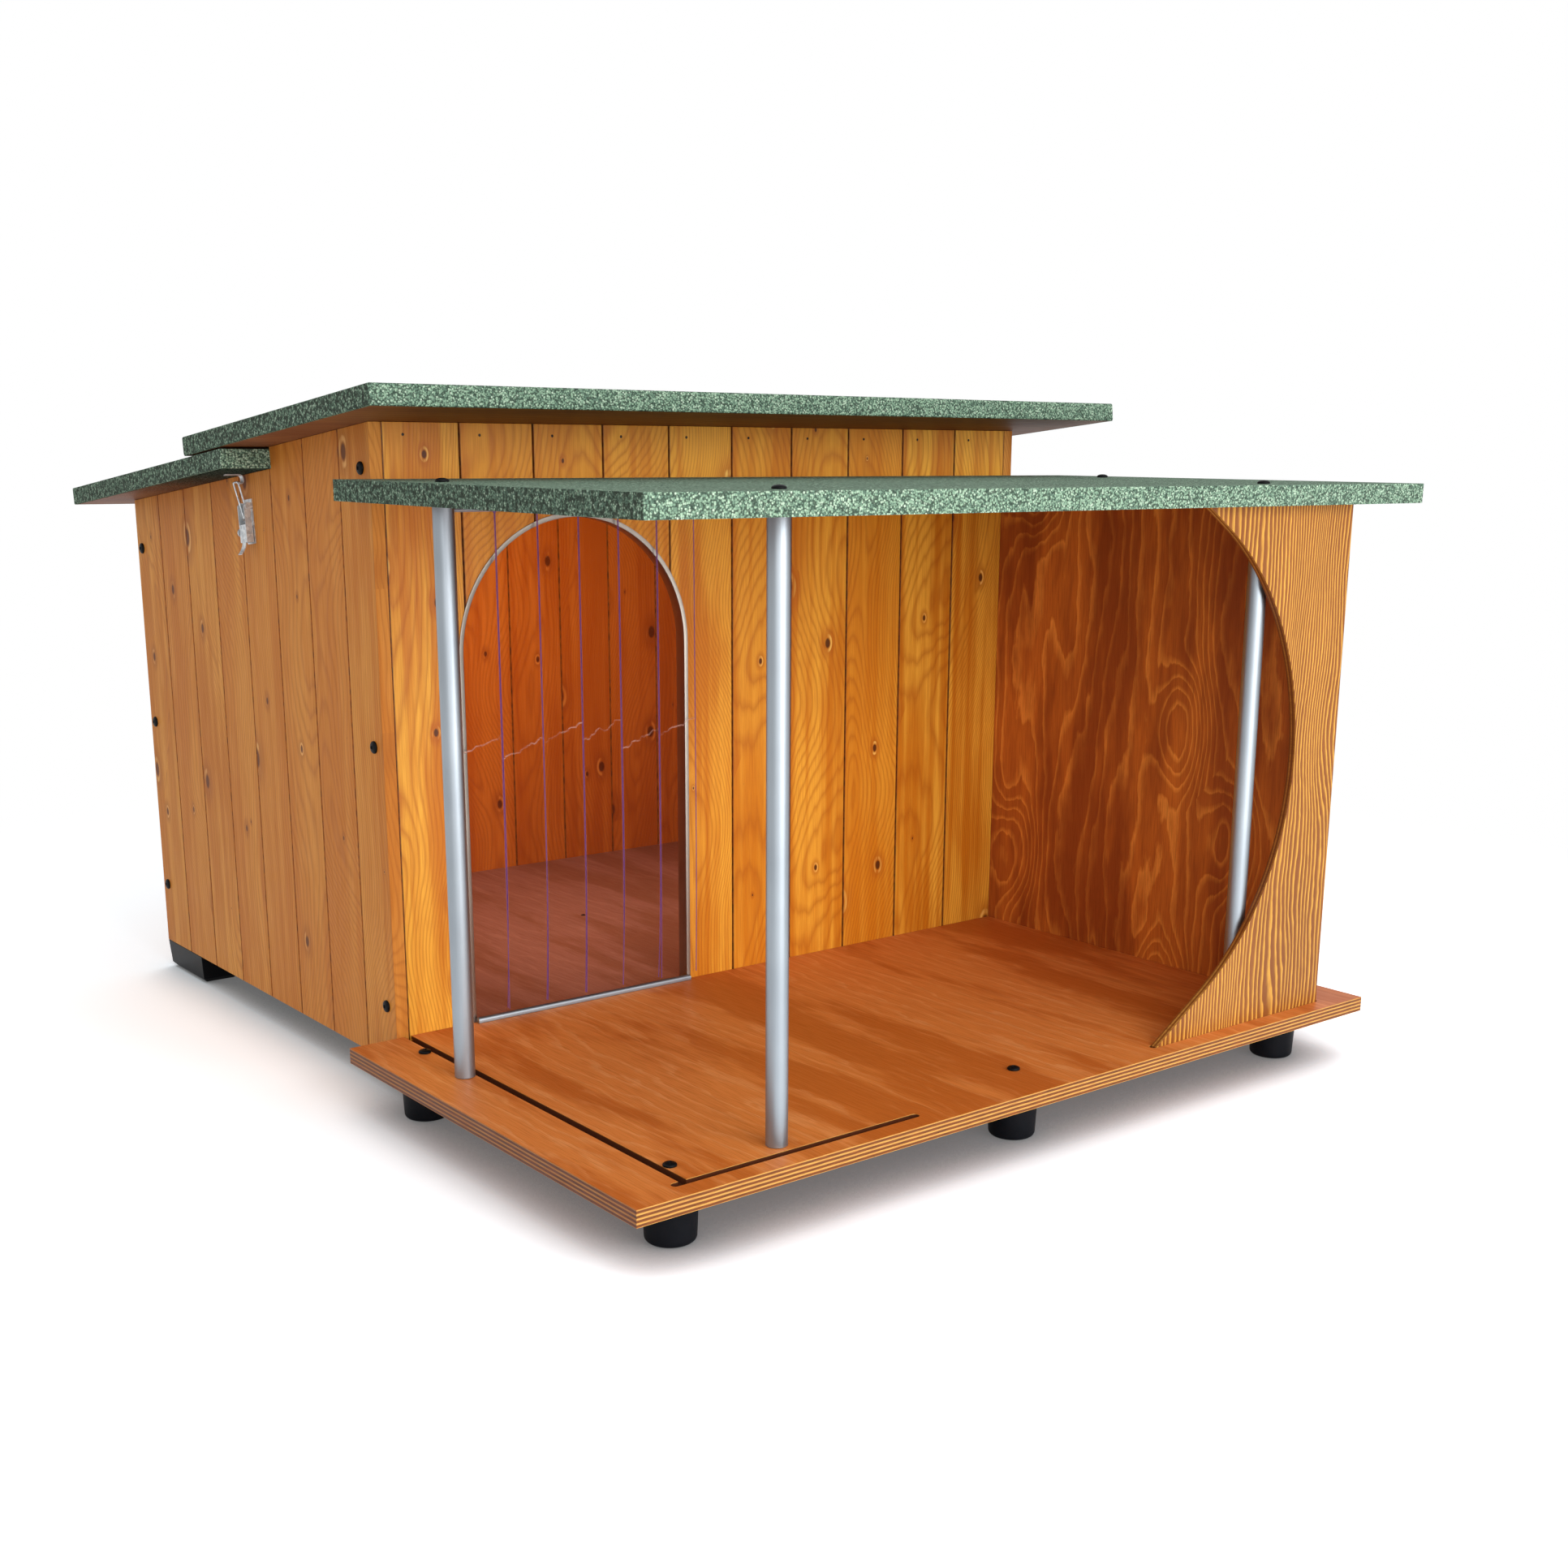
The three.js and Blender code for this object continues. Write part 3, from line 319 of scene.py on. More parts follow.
# %% Pine material
def pine_boards(name, across, first_joint, tones, roughness):
    """Upright boards. across is 0 where they stand side by side along X, and 1 along Y."""
    material, t, shader = new_material(name, IOR=1.5, Specular_IOR_Level=0.28)
    axes = add(t, "SeparateXYZ", {0: add(t, "TexCoord").outputs["Object"]})
    deep = axes.outputs[1 - across]
    x, y, share, luck = board_place(t, axes, across, first_joint)
    spot = add(t, "CombineXYZ", {0: x, 1: y, 2: deep})
    bent, near, size = bent_by_knots(t, spot, x)
    bent_spot = add(t, "CombineXYZ", {0: bent, 1: y, 2: deep})
    ripple = drawn_out(t, spot, (60, 5, 60), 3.0)
    late = late_wood(t, spot, bent, ripple)
    # fibres too fine to count, drawn 0.9 mm wide so that they still show
    fibres = drawn_out(t, spot, (1100, 22, 1100), 2.0)
    colour = plain_wood(t, spot, bent_spot, luck, late, fibres, tones)
    colour = with_knots(t, colour, near, size, ripple, tones)
    colour = with_joints(t, colour, spot, share, tones)
    colour = with_inside_shade(t, colour, axes, tones)
    # late wood stands a hair proud, and the fibres break the gloss
    dull, bright = roughness + 0.07, roughness - 0.07
    rough = add(t, "MapRange", {0: fibres, 1: 0.3, 2: 0.7, 3: bright, 4: dull})
    relief = add(t, "Math", {0: fibres, 1: 0.5, 2: late}, operation="MULTIPLY_ADD")
    soft_edge = add(t, "Bevel", {"Radius": 0.7 * MM}, samples=4)
    surface(t, shader, colour, relief, 0.35, 0.25 * MM, rough, soft_edge)
    return material


# the tone multiplied over the inside of the cabin is painted shade
FRONT_TONES = {"pale": "#fdbc42", "honey": "#cd7a18", "warm": "#da8418", "late": "#ae580a",
               "halo": "#b0560e", "knot": "#35150a", "collar": "#f8c460", "joint": "#6a2c08",
               "gap": "#2c1206", "inside_shade": "#f2c090", "grain": 0.52}
SIDE_TONES = {"pale": "#e6a146", "honey": "#c87922", "warm": "#ce7e2a", "late": "#a95c18",
              "halo": "#a45c1c", "knot": "#54290f", "collar": "#e6ac64", "joint": "#9a4c0a",
              "gap": "#5a2a0a", "inside_shade": "#f0b47c", "grain": 0.5}
FRONT_JOINT = CABIN_LEFT + BOARD_THICKNESS
SIDE_JOINT = CABIN_REAR - REAR_BOARD - 7 * BOARD_COVER
PINE_FRONT = pine_boards("honey_pine_front", 0, FRONT_JOINT, FRONT_TONES, 0.42)
PINE_SIDE = pine_boards("honey_pine_side", 1, SIDE_JOINT, SIDE_TONES, 0.58)
PINE_REAR = pine_boards("honey_pine_rear", 0, FRONT_JOINT, SIDE_TONES, 0.58)
print("pine materials:", PINE_FRONT.name, PINE_SIDE.name, PINE_REAR.name)

# %% [markdown]
# ## Stained plywood
# Ply is peeled from a turning log, so its face shows one ring as a wide map of contour lines:
# arches, flames and islands, all drawn out along the grain. A smooth noise that is stretched
# along the grain gives that map, and its contours are the lines. Here the late wood takes less
# stain than the rest, so the lines are lighter. At the edge of a sheet the layers show as
# stripes, light and dark by turns.

# %% Lines of the peeled log
PLY_KNOT_CELL = (300 * MM, 420 * MM)  # about one knot for this area
KNOT_RINGS = 85 * MM  # how far the rings round a knot reach


def peeled_lines(t, spot, across, wobble, tones, spacing, swirl):
    """The contour lines of a height map, with a few knots that have rings of their own."""
    hills = drawn_out(t, spot, (5.2, 1.15, 2.0), 2.2, Roughness=0.42)
    near = nearest_knot(t, spot, PLY_KNOT_CELL, 0.6)[1]
    bulge = add(t, "MapRange", {0: near, 1: 0.0, 2: KNOT_RINGS, 3: 1.0, 4: 0.0},
                interpolation_type="SMOOTHERSTEP")
    level = add(t, "Math", {0: across, 1: spacing}, operation="DIVIDE")
    for part, weight in ((hills, swirl), (bulge, tones["knots"]), (wobble, tones["wobble"])):
        level = add(t, "Math", {0: part, 1: weight, 2: level}, operation="MULTIPLY_ADD")
    ring = add(t, "Math", {0: level}, operation="FRACT")
    wide = tones["wide"]
    return add(t, "ValToRGB", {0: ring}, stops=[
        (0.0, 0.0), (1 - wide, 0.06), (1 - 0.5 * wide, 0.7), (1 - 0.25 * wide, 1.0), (1.0, 0.0)])


print("a knot's rings reach", round(KNOT_RINGS / MM), "mm")

# %% Face and edge of a sheet
LAYER = 2.5 * MM


def ply_face(t, spot, line, pores, tones):
    """The face: a stain that takes unevenly, paler lines over it, and darker pores."""
    patch = drawn_out(t, spot, (11, 2.0, 3), 4.0, Roughness=0.6)
    low, high = 0.5 - tones["patch"], 0.5 + tones["patch"]
    mottle = add(t, "MapRange", {0: patch, 1: low, 2: high, 3: 0.0, 4: 1.0}, **SMOOTH)
    fade = add(t, "MapRange", {0: patch, 1: 0.40, 2: 0.60, 3: tones["fade"], 4: 1.0})
    strength = add(t, "Math", {0: line, 1: fade}, operation="MULTIPLY")
    colour = add(t, "Mix", {"Factor": mottle, "A": tones["dark"], "B": tones["mid"]}, **RGBA)
    colour = add(t, "Mix", {"Factor": strength, "A": colour, "B": tones["line"]}, **RGBA)
    hair = add(t, "MapRange", {0: pores, 1: 0.45, 2: 0.8, 3: 0.0, 4: 0.5})
    return add(t, "Mix", {"Factor": hair, "A": colour, "B": tones["pore"]}, **RGBA)


def ply_edge(t, spot, depth, end_on, wobble, tones):
    """The layers at a cut edge. An edge across the face grain drinks more stain."""
    layers = add(t, "Math", {0: depth, 1: LAYER}, operation="DIVIDE")
    layers = add(t, "Math", {0: wobble, 1: 0.25, 2: layers}, operation="MULTIPLY_ADD")
    stripe = add(t, "Math", {0: layers, 1: 0.5}, operation="MULTIPLY")
    stripe = add(t, "Math", {0: stripe}, operation="FRACT")
    stripe = add(t, "ValToRGB", {0: stripe}, stops=[
        (0.0, tones["glue"]), (0.06, tones["edge_dark"]), (0.44, tones["edge_dark"]),
        (0.52, tones["glue"]), (0.58, tones["edge_pale"]), (1.0, tones["edge_pale"])])
    grit = drawn_out(t, spot, (45, 45, 600), 3.0)
    grit = add(t, "MapRange", {0: grit, 1: 0.42, 2: 0.72, 3: 0.0, 4: 0.55})
    stripe = add(t, "Mix", {"Factor": grit, "A": stripe, "B": tones["pore"]}, **RGBA)
    drinks = add(t, "Math", {0: end_on}, operation="ABSOLUTE")
    drinks = add(t, "MapRange", {0: drinks, 1: 0.5, 2: 0.8, 3: 0.0, 4: 1.0})
    darker = add(t, "Mix", {"Factor": 1.0, "A": stripe, "B": "#c9b09a"}, **RGBA,
                 blend_type="MULTIPLY")
    return add(t, "Mix", {"Factor": drinks, "A": stripe, "B": darker}, **RGBA)


print("layers", LAYER / MM, "mm thick")

# %% Ply material
ROUTED_INSETS = (4 * MM, 4 * MM, 0.7 * MM)  # how far inside the sheet a cut counts as one


def stained_ply(name, along, flat, tones, spacing, swirl, roughness=0.45, routed=None):
    """A ply sheet. along is the axis of its face grain and flat the axis across its thickness.
    routed is a node whose slots and holes are painted dark inside: painted shade in the recesses."""
    material, t, shader = new_material(name, IOR=1.5, Specular_IOR_Level=0.28)
    source = add(t, "TexCoord")
    axes = add(t, "SeparateXYZ", {0: source.outputs["Object"]})
    normal = add(t, "SeparateXYZ", {0: source.outputs["Normal"]})
    across = 3 - along - flat
    side = axes.outputs[across]
    spot = add(t, "CombineXYZ", {0: side, 1: axes.outputs[along], 2: axes.outputs[flat]})
    wobble = drawn_out(t, spot, (30, 8, 1), 4.0, Roughness=0.52)
    line = peeled_lines(t, spot, side, wobble, tones, spacing, swirl)
    pores = drawn_out(t, spot, (900, 26, 900), 2.0)
    colour = ply_face(t, spot, line, pores, tones)
    # every face that isn't the sheet's own shows the layers
    edge = ply_edge(t, source.outputs["Object"], axes.outputs[flat], normal.outputs[across],
                    wobble, tones)
    facing = add(t, "Math", {0: normal.outputs[flat]}, operation="ABSOLUTE")
    is_edge = add(t, "Math", {0: facing, 1: 0.6}, operation="LESS_THAN")
    colour = add(t, "Mix", {"Factor": is_edge, "A": colour, "B": edge}, **RGBA)
    if routed:
        low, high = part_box(routed)
        within = inside_box(t, axes, low, high, ROUTED_INSETS)
        # painted shade inside the routed slots and holes
        colour = add(t, "Mix", {"Factor": within, "A": colour, "B": tones["slot"]}, **RGBA)
    dull, bright = roughness + 0.08, roughness - 0.06
    rough = add(t, "MapRange", {0: pores, 1: 0.3, 2: 0.7, 3: bright, 4: dull})
    relief = add(t, "Math", {0: pores, 1: 0.6, 2: line}, operation="MULTIPLY_ADD")
    surface(t, shader, colour, relief, 0.3, 0.2 * MM, rough)
    return material


# the slot tone is painted shade inside the platform's slots and holes
PLATFORM_TONES = {"dark": "#c66826", "mid": "#e0843e", "line": "#ea9858", "pore": "#a4561f",
                  "fade": 0.0, "knots": 0.0, "wobble": 2.2, "wide": 0.32, "patch": 0.06,
                  "slot": "#542812", "glue": "#2e1408", "edge_dark": "#6e3a14",
                  "edge_pale": "#d39c4c"}
CABIN_FLOOR_TONES = PLATFORM_TONES | {"dark": "#935236", "mid": "#a26048", "line": "#ae6c52",
                                      "pore": "#7c4432"}
PANEL_TONES = {"dark": "#7e4418", "mid": "#8c5020", "line": "#eaae48", "pore": "#7e4618",
               "fade": 0.85, "knots": 1.5, "wobble": 2.0, "wide": 0.56, "patch": 0.12,
               "glue": "#5a3214", "edge_dark": "#8a5220", "edge_pale": "#c28840"}
SIDE_PANEL_TONES = {"dark": "#944518", "mid": "#c86d25", "line": "#ee983e", "pore": "#6c2e0a",
                    "fade": 0.25, "knots": 4.0, "wobble": 1.6, "wide": 0.40, "patch": 0.12,
                    "glue": "#33190a", "edge_dark": "#6d3b18", "edge_pale": "#a9713a"}
SOFFIT_TONES = {"dark": "#74411f", "mid": "#83502a", "line": "#97602f", "pore": "#5f3416",
                "fade": 0.2, "knots": 2.0, "wobble": 0.8, "wide": 0.38, "patch": 0.12,
                "glue": "#2c170a", "edge_dark": "#5d3a1c", "edge_pale": "#8f6238"}
X_AXIS, Y_AXIS, Z_AXIS = 0, 1, 2
PLATFORM_PLY = stained_ply("stained_ply_platform", Y_AXIS, Z_AXIS, PLATFORM_TONES, 24 * MM, 7.0,
                           routed="platform")
CABIN_FLOOR_PLY = stained_ply("stained_ply_cabin_floor", Y_AXIS, Z_AXIS, CABIN_FLOOR_TONES,
                              30 * MM, 6.0, 0.55)
FRONT_PANEL_PLY = stained_ply("stained_ply_front_panel", Z_AXIS, Y_AXIS, PANEL_TONES, 8 * MM, 24.0)
SIDE_PANEL_PLY = stained_ply("stained_ply_side_panel", Z_AXIS, X_AXIS, SIDE_PANEL_TONES,
                             26 * MM, 13.0)
SOFFIT_PLY = stained_ply("stained_ply_soffit", X_AXIS, Z_AXIS, SOFFIT_TONES, 24 * MM, 7.0, 0.55)
print("ply materials made for the platform, the two panels and the roof boards")

# %% [markdown]
# ## Mineral-faced shingle
# The roof covers are bitumen felt with a crust of green slate granules, about 1.5 mm across.
# The crust is matt and rough: each granule has its own green, and dark bitumen shows between
# them. A cell pattern gives the granules, and its distance gives their height. They are drawn
# 2.3 mm wide, which is as small as shows at this distance.

# %% Shingle material
GRANULE = 2.3 * MM


def slate_granules():
    """Green granules with dark bitumen between them."""
    material, t, shader = new_material("green_slate_granules", Roughness=0.93,
                                       Specular_IOR_Level=0.25)
    source = add(t, "TexCoord")
    spot = source.outputs["Object"]
    grains = add(t, "TexVoronoi", {"Vector": spot, "Scale": 1 / GRANULE, "Randomness": 1.0})
    apart = grains.outputs["Distance"]
    tone = add(t, "SeparateColor", {0: grains.outputs["Color"]})
    green = add(t, "ValToRGB", {0: tone}, stops=[
        (0.0, "#4e6556"), (0.22, "#6a8674"), (0.5, "#8aa990"), (0.78, "#a5c4a8"), (1.0, "#c8dec6")])
    lumps = add(t, "TexNoise", {"Vector": spot, "Scale": 1 / (5 * GRANULE), "Detail": 3.0})
    weather = add(t, "MapRange", {0: lumps, 1: 0.35, 2: 0.65, 3: 0.0, 4: 0.35})
    green = add(t, "Mix", {"Factor": weather, "A": green, "B": "#6a8672"}, **RGBA)
    gap = add(t, "MapRange", {0: apart, 1: 0.42, 2: 0.7, 3: 0.0, 4: 0.8}, **SMOOTH)
    colour = add(t, "Mix", {"Factor": gap, "A": green, "B": "#26332b"}, **RGBA)
    # painted shade: the two short ends are darkened in clumps, for the shade that falls on the
    # roof's ends
    end = add(t, "SeparateXYZ", {0: source.outputs["Normal"]}).outputs[0]
    end = add(t, "Math", {0: end}, operation="ABSOLUTE")
    end = add(t, "MapRange", {0: end, 1: 0.5, 2: 0.9, 3: 0.0, 4: 0.9})
    clumps = add(t, "TexNoise", {"Vector": spot, "Scale": 1 / (2.6 * GRANULE), "Detail": 2.0})
    clumps = add(t, "MapRange", {0: clumps, 1: 0.42, 2: 0.54, 3: 1.0, 4: 0.25})
    end_shade = add(t, "Math", {0: end, 1: clumps}, operation="MULTIPLY")
    colour = add(t, "Mix", {"Factor": end_shade, "A": colour, "B": "#2b332a"}, **RGBA)
    dome = add(t, "Math", {0: 1.0, 1: apart}, operation="SUBTRACT")
    height = add(t, "Math", {0: tone, 1: 0.6, 2: dome}, operation="MULTIPLY_ADD")
    surface(t, shader, colour, height, 0.9, 1.3 * MM)
    return material


SHINGLE = slate_granules()
print("granules drawn", GRANULE / MM, "mm wide")

# %% [markdown]
# ## Metals
# The posts and the door trim are drawn aluminium with a satin anodised skin: brushed along
# their length, so the highlight is soft and broad. The latches are pressed steel with a dull
# zinc plate, which is pale, a little bluish, and mottled. The nails are a dark brown steel.
# All are plain metals with the default index of refraction, and only their
# tone, roughness and relief vary.

# %% Metal materials
SPANGLE = 4 * MM


def drawn_metal(name, deep, bright, roughness):
    """Drawn metal: the lines run upright, and the tone drifts a little."""
    material, t, shader = new_material(name, Metallic=1.0)
    spot = add(t, "TexCoord").outputs["Object"]
    lines = drawn_out(t, spot, (900, 900, 3), 3.0)
    cloud = add(t, "TexNoise", {"Vector": spot, "Scale": 9.0, "Detail": 2.0})
    colour = add(t, "Mix", {"Factor": cloud, "A": deep, "B": bright}, **RGBA)
    low, high = roughness - 0.06, roughness + 0.06
    rough = add(t, "MapRange", {0: lines, 1: 0.3, 2: 0.7, 3: low, 4: high})
    surface(t, shader, colour, lines, 0.12, 0.05 * MM, rough)
    return material


def zinc_plate():
    """Pressed steel under zinc: pale spangles, each with its own tone, and scuffs."""
    material, t, shader = new_material("zinc_plated_steel", Metallic=1.0)
    spot = add(t, "TexCoord").outputs["Object"]
    spangle = add(t, "TexVoronoi", {"Vector": spot, "Scale": 1 / SPANGLE})
    tone = add(t, "SeparateColor", {0: spangle.outputs["Color"]})
    colour = add(t, "Mix", {"Factor": tone, "A": "#aeb2b5", "B": "#d4d6d6"}, **RGBA)
    scuffs = add(t, "TexNoise", {"Vector": spot, "Scale": 240.0, "Detail": 4.0})
    rough = add(t, "MapRange", {0: scuffs, 1: 0.35, 2: 0.7, 3: 0.38, 4: 0.6})
    surface(t, shader, colour, scuffs, 0.15, 0.1 * MM, rough)
    return material


ALUMINIUM = drawn_metal("anodised_aluminium", "#8a9198", "#a6adb3", 0.44)
TRIM_ALUMINIUM = drawn_metal("champagne_aluminium", "#8a827a", "#a89f94", 0.34)
# the nails are a plain dark brown
NAIL_STEEL = drawn_metal("dark_brown_steel", "#2e2824", "#463c34", 0.5)
ZINC = zinc_plate()
print("metals:", ALUMINIUM.name, ZINC.name, NAIL_STEEL.name)

# %% [markdown]
# ## Rubber, moulded plastic and clear PVC
# The feet are black rubber, matt with a dull sheen. The caps and the cabin's blocks are moulded
# plastic with a fine spark-eroded texture. The curtain is soft clear PVC: nearly invisible face
# on, with one crease across each strip where it was folded, drawn as a pale painted highlight,
# and violet at the cut edges, where the eye looks along the sheet.

# %% Polymer materials
def moulded(name, base, worn, grit_size, roughness):
    """Black rubber or plastic with a moulded texture of the given grit size."""
    material, t, shader = new_material(name, IOR=1.5, Specular_IOR_Level=0.1)
    spot = add(t, "TexCoord").outputs["Object"]
    grit = add(t, "TexNoise", {"Vector": spot, "Scale": 1 / grit_size, "Detail": 3.0})
    dust = add(t, "TexNoise", {"Vector": spot, "Scale": 22.0, "Detail": 4.0})
    share = add(t, "MapRange", {0: dust, 1: 0.4, 2: 0.75, 3: 0.0, 4: 0.8})
    colour = add(t, "Mix", {"Factor": share, "A": base, "B": worn}, **RGBA)
    low, high = roughness - 0.08, roughness + 0.08
    rough = add(t, "MapRange", {0: grit, 1: 0.3, 2: 0.7, 3: low, 4: high})
    surface(t, shader, colour, grit, 0.25, 0.15 * MM, rough)
    return material


STRIP_LEFT = CABIN_LEFT + 103.7 * MM  # left edge of the first strip
STRIP_PITCH = 62.1 * MM
CREASE_HEIGHT = 425 * MM  # of the crease at a strip's left edge
CREASE_RISE = 0.34  # it climbs to the right


def crease_highlight(t, spot, height, count, share):
    """One pale, kinked line across each strip, where it was folded to be packed: a painted
    highlight along the crease.
    """
    strip = add(t, "Math", {0: count}, operation="FLOOR")
    luck = add(t, "TexWhiteNoise", {"W": strip}, noise_dimensions="1D").outputs["Value"]
    rise = STRIP_PITCH * CREASE_RISE
    line = add(t, "Math", {0: share, 1: rise, 2: CREASE_HEIGHT}, operation="MULTIPLY_ADD")
    line = add(t, "Math", {0: luck, 1: 22 * MM, 2: line}, operation="MULTIPLY_ADD")
    kinks = add(t, "TexNoise", {"W": count, "Scale": 4.0, "Detail": 4.0}, noise_dimensions="1D")
    line = add(t, "Math", {0: kinks, 1: 16 * MM, 2: line}, operation="MULTIPLY_ADD")
    off = away_from(t, height, line)
    crease_shine = add(t, "MapRange", {0: off, 1: 0.2 * MM, 2: 1.5 * MM, 3: 0.42, 4: 0.0}, **SMOOTH)
    patches = add(t, "TexNoise", {"Vector": spot, "Scale": 40.0, "Detail": 2.0})
    patches = add(t, "MapRange", {0: patches, 1: 0.38, 2: 0.6, 3: 0.25, 4: 1.0})
    return add(t, "Math", {0: crease_shine, 1: patches}, operation="MULTIPLY")


def cut_edges(t, sideways, share):
    """The two cut edges of a strip, and a thin band of its face beside them."""
    side = add(t, "Math", {0: sideways}, operation="ABSOLUTE")
    side = add(t, "MapRange", {0: side, 1: 0.3, 2: 0.8, 3: 0.0, 4: 0.95})
    beside = away_from(t, share, 0.5)
    beside = add(t, "MapRange", {0: beside, 1: 0.472, 2: 0.49, 3: 0.0, 4: 0.3})
    return add(t, "Math", {0: side, 1: beside}, operation="MAXIMUM")


def clear_pvc():
    """Clear sheet: only its rim, the painted highlight along its crease and a trace of its face are
    seen.
    """
    material, t, shader = new_material("clear_pvc", Roughness=0.1, IOR=1.53,
                                       Specular_IOR_Level=0.3)
    source = add(t, "TexCoord")
    spot = source.outputs["Object"]
    axes = add(t, "SeparateXYZ", {0: spot})
    # which strip, and how far across it
    count = add(t, "Math", {0: axes.outputs[0], 1: STRIP_LEFT}, operation="SUBTRACT")
    count = add(t, "Math", {0: count, 1: STRIP_PITCH}, operation="DIVIDE")
    share = add(t, "Math", {0: count}, operation="FRACT")
    # painted highlight along each strip's crease
    crease_shine = crease_highlight(t, spot, axes.outputs[2], count, share)
    sideways = add(t, "SeparateXYZ", {0: source.outputs["Normal"]}).outputs[0]
    rim = cut_edges(t, sideways, share)
    colour = add(t, "Mix", {"Factor": rim, "A": "#b07a6a", "B": "#8a5ec6"}, **RGBA)
    colour = add(t, "Mix", {"Factor": crease_shine, "A": colour, "B": "#f0c8b8"}, **RGBA)
    alpha = add(t, "Math", {0: rim, 1: crease_shine}, operation="MAXIMUM")
    alpha = add(t, "Math", {0: alpha, 1: 0.012}, operation="ADD", use_clamp=True)
    t.links.new(alpha.outputs[0], shader.inputs["Alpha"])
    waves = drawn_out(t, spot, (9, 9, 2.2), 2.0)
    surface(t, shader, colour, waves, 0.25, 2 * MM)
    return material


RUBBER = moulded("black_rubber", "#090b10", "#14161b", 1.2 * MM, 0.5)
PLASTIC = moulded("black_moulded_plastic", "#08090b", "#121316", 0.6 * MM, 0.42)
PVC = clear_pvc()
print("polymers:", RUBBER.name, PLASTIC.name, PVC.name)

# %% [markdown]
# ## Planed batten
# The corner posts, the floor's battens and the roof's rails are plain planed softwood with no
# stain. Only a strip of them shows, so straight grain along each piece is enough.

# %% Batten material
def planed_softwood(name, along):
    """Bare softwood. along is the axis that its grain follows."""
    material, t, shader = new_material(name, IOR=1.5)
    spot = add(t, "TexCoord").outputs["Object"]
    stretch = [170.0, 170.0, 170.0]
    stretch[along] = 5.0
    grain = drawn_out(t, spot, stretch, 3.0, Distortion=0.4)
    share = add(t, "MapRange", {0: grain, 1: 0.35, 2: 0.7, 3: 0.0, 4: 1.0})
    colour = add(t, "Mix", {"Factor": share, "A": "#cfa468", "B": "#a8763c"}, **RGBA)
    rough = add(t, "MapRange", {0: grain, 1: 0.3, 2: 0.7, 3: 0.6, 4: 0.75})
    surface(t, shader, colour, grain, 0.25, 0.2 * MM, rough)
    return material


BATTEN_UPRIGHT = planed_softwood("planed_softwood_upright", Z_AXIS)
BATTEN_LONG = planed_softwood("planed_softwood_long", Y_AXIS)
print("batten grain runs along Z and along Y")

# %% [markdown]
# ## Eased edges
# A saw leaves a sharp edge, and a maker sands it before staining; felt and pressed metal turn
# a corner on a radius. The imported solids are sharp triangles, so each visible one is copied, its
# triangles are merged into flat faces again, and its sharp edges get a small round. Large faces
# then count for more than the rounds beside them, so they stay flat to the eye. The copy stands
# for the node, which stays hidden in the physics model.

# %% Copy a node and ease its edges
SHARP = math.radians(32)
FLAT = math.radians(0.6)  # triangles that meet within this lie in one face


def body_and_slot(node):
    """The moving body that holds a node, and the node's material slot, from the record."""
    record = frame["record"]
    body = next(b for b, nodes in record["behaviour"]["bodies"].items() if node in nodes)
    slot = next(s["material_slot"] for s in record["subparts"] if s["node"] == node)
    return body, slot


def finish_piece(piece, material, node):
    """Gives a piece its material, and ties it to the node that it stands for."""
    body, slot = body_and_slot(node)
    piece.data.materials.clear()
    piece.data.materials.append(material)
    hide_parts(node)
    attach(piece, body)
    return piece


def show(name, mesh):
    """Puts a bmesh into the scene as an object."""
    data = bpy.data.meshes.new(name)
    mesh.to_mesh(data)
    mesh.free()
    piece = bpy.data.objects.new(name, data)
    bpy.context.scene.collection.objects.link(piece)
    return piece


def smooth_by_angle(mesh):
    """Shades every face smooth, and keeps the edges that turn by more than SHARP."""
    for face in mesh.faces:
        face.smooth = True
    for edge in mesh.edges:
        edge.smooth = len(edge.link_faces) == 2 and edge.calc_face_angle() < SHARP


def keep_flat(piece):
    """Weights the shading by area, so that a large face beside a small round still looks flat."""
    piece.modifiers.new("flat_faces", "WEIGHTED_NORMAL").keep_sharp = True
    return piece


def eased(node, material, radius, segments=2):
    """A copy of a CAD node with its triangles merged and its sharp edges rounded."""
    mesh = bmesh.new()
    mesh.from_mesh(frame["nodes"][node].data)
    bmesh.ops.remove_doubles(mesh, verts=mesh.verts, dist=0.002 * MM)
    bmesh.ops.dissolve_limit(mesh, angle_limit=FLAT, verts=mesh.verts, edges=mesh.edges)
    edges = [e for e in mesh.edges if len(e.link_faces) == 2 and e.calc_face_angle() > SHARP]
    if radius:
        bmesh.ops.bevel(mesh, geom=edges, offset=radius, segments=segments, profile=0.5,
                        affect="EDGES", clamp_overlap=True)
    smooth_by_angle(mesh)
    return finish_piece(keep_flat(show(node + "_eased", mesh)), material, node)


for wall, pine in (("front_wall", PINE_FRONT), ("rear_wall", PINE_REAR),
                   ("side_wall_left", PINE_SIDE), ("side_wall_right", PINE_SIDE)):
    eased(wall, pine, 0.5 * MM)
print("walls eased by 0.5 mm")

# %% [markdown]
# ## Platform, panels and roof boards
# The same easing suits every sheet of ply. The cut edges of the platform and of the front panel
# show their layers, so their round is small and the layers run right up to it.

# %% Ply pieces
for sheet, ply in (("platform", PLATFORM_PLY), ("cabin_floor", CABIN_FLOOR_PLY),
                   ("side_panel", SIDE_PANEL_PLY)):
    eased(sheet, ply, 0.6 * MM)
for roof_board in ("veranda_roof_board", "upper_roof_board", "lower_roof_board"):
    eased(roof_board, SOFFIT_PLY, 0.5 * MM)
print("ply pieces eased")

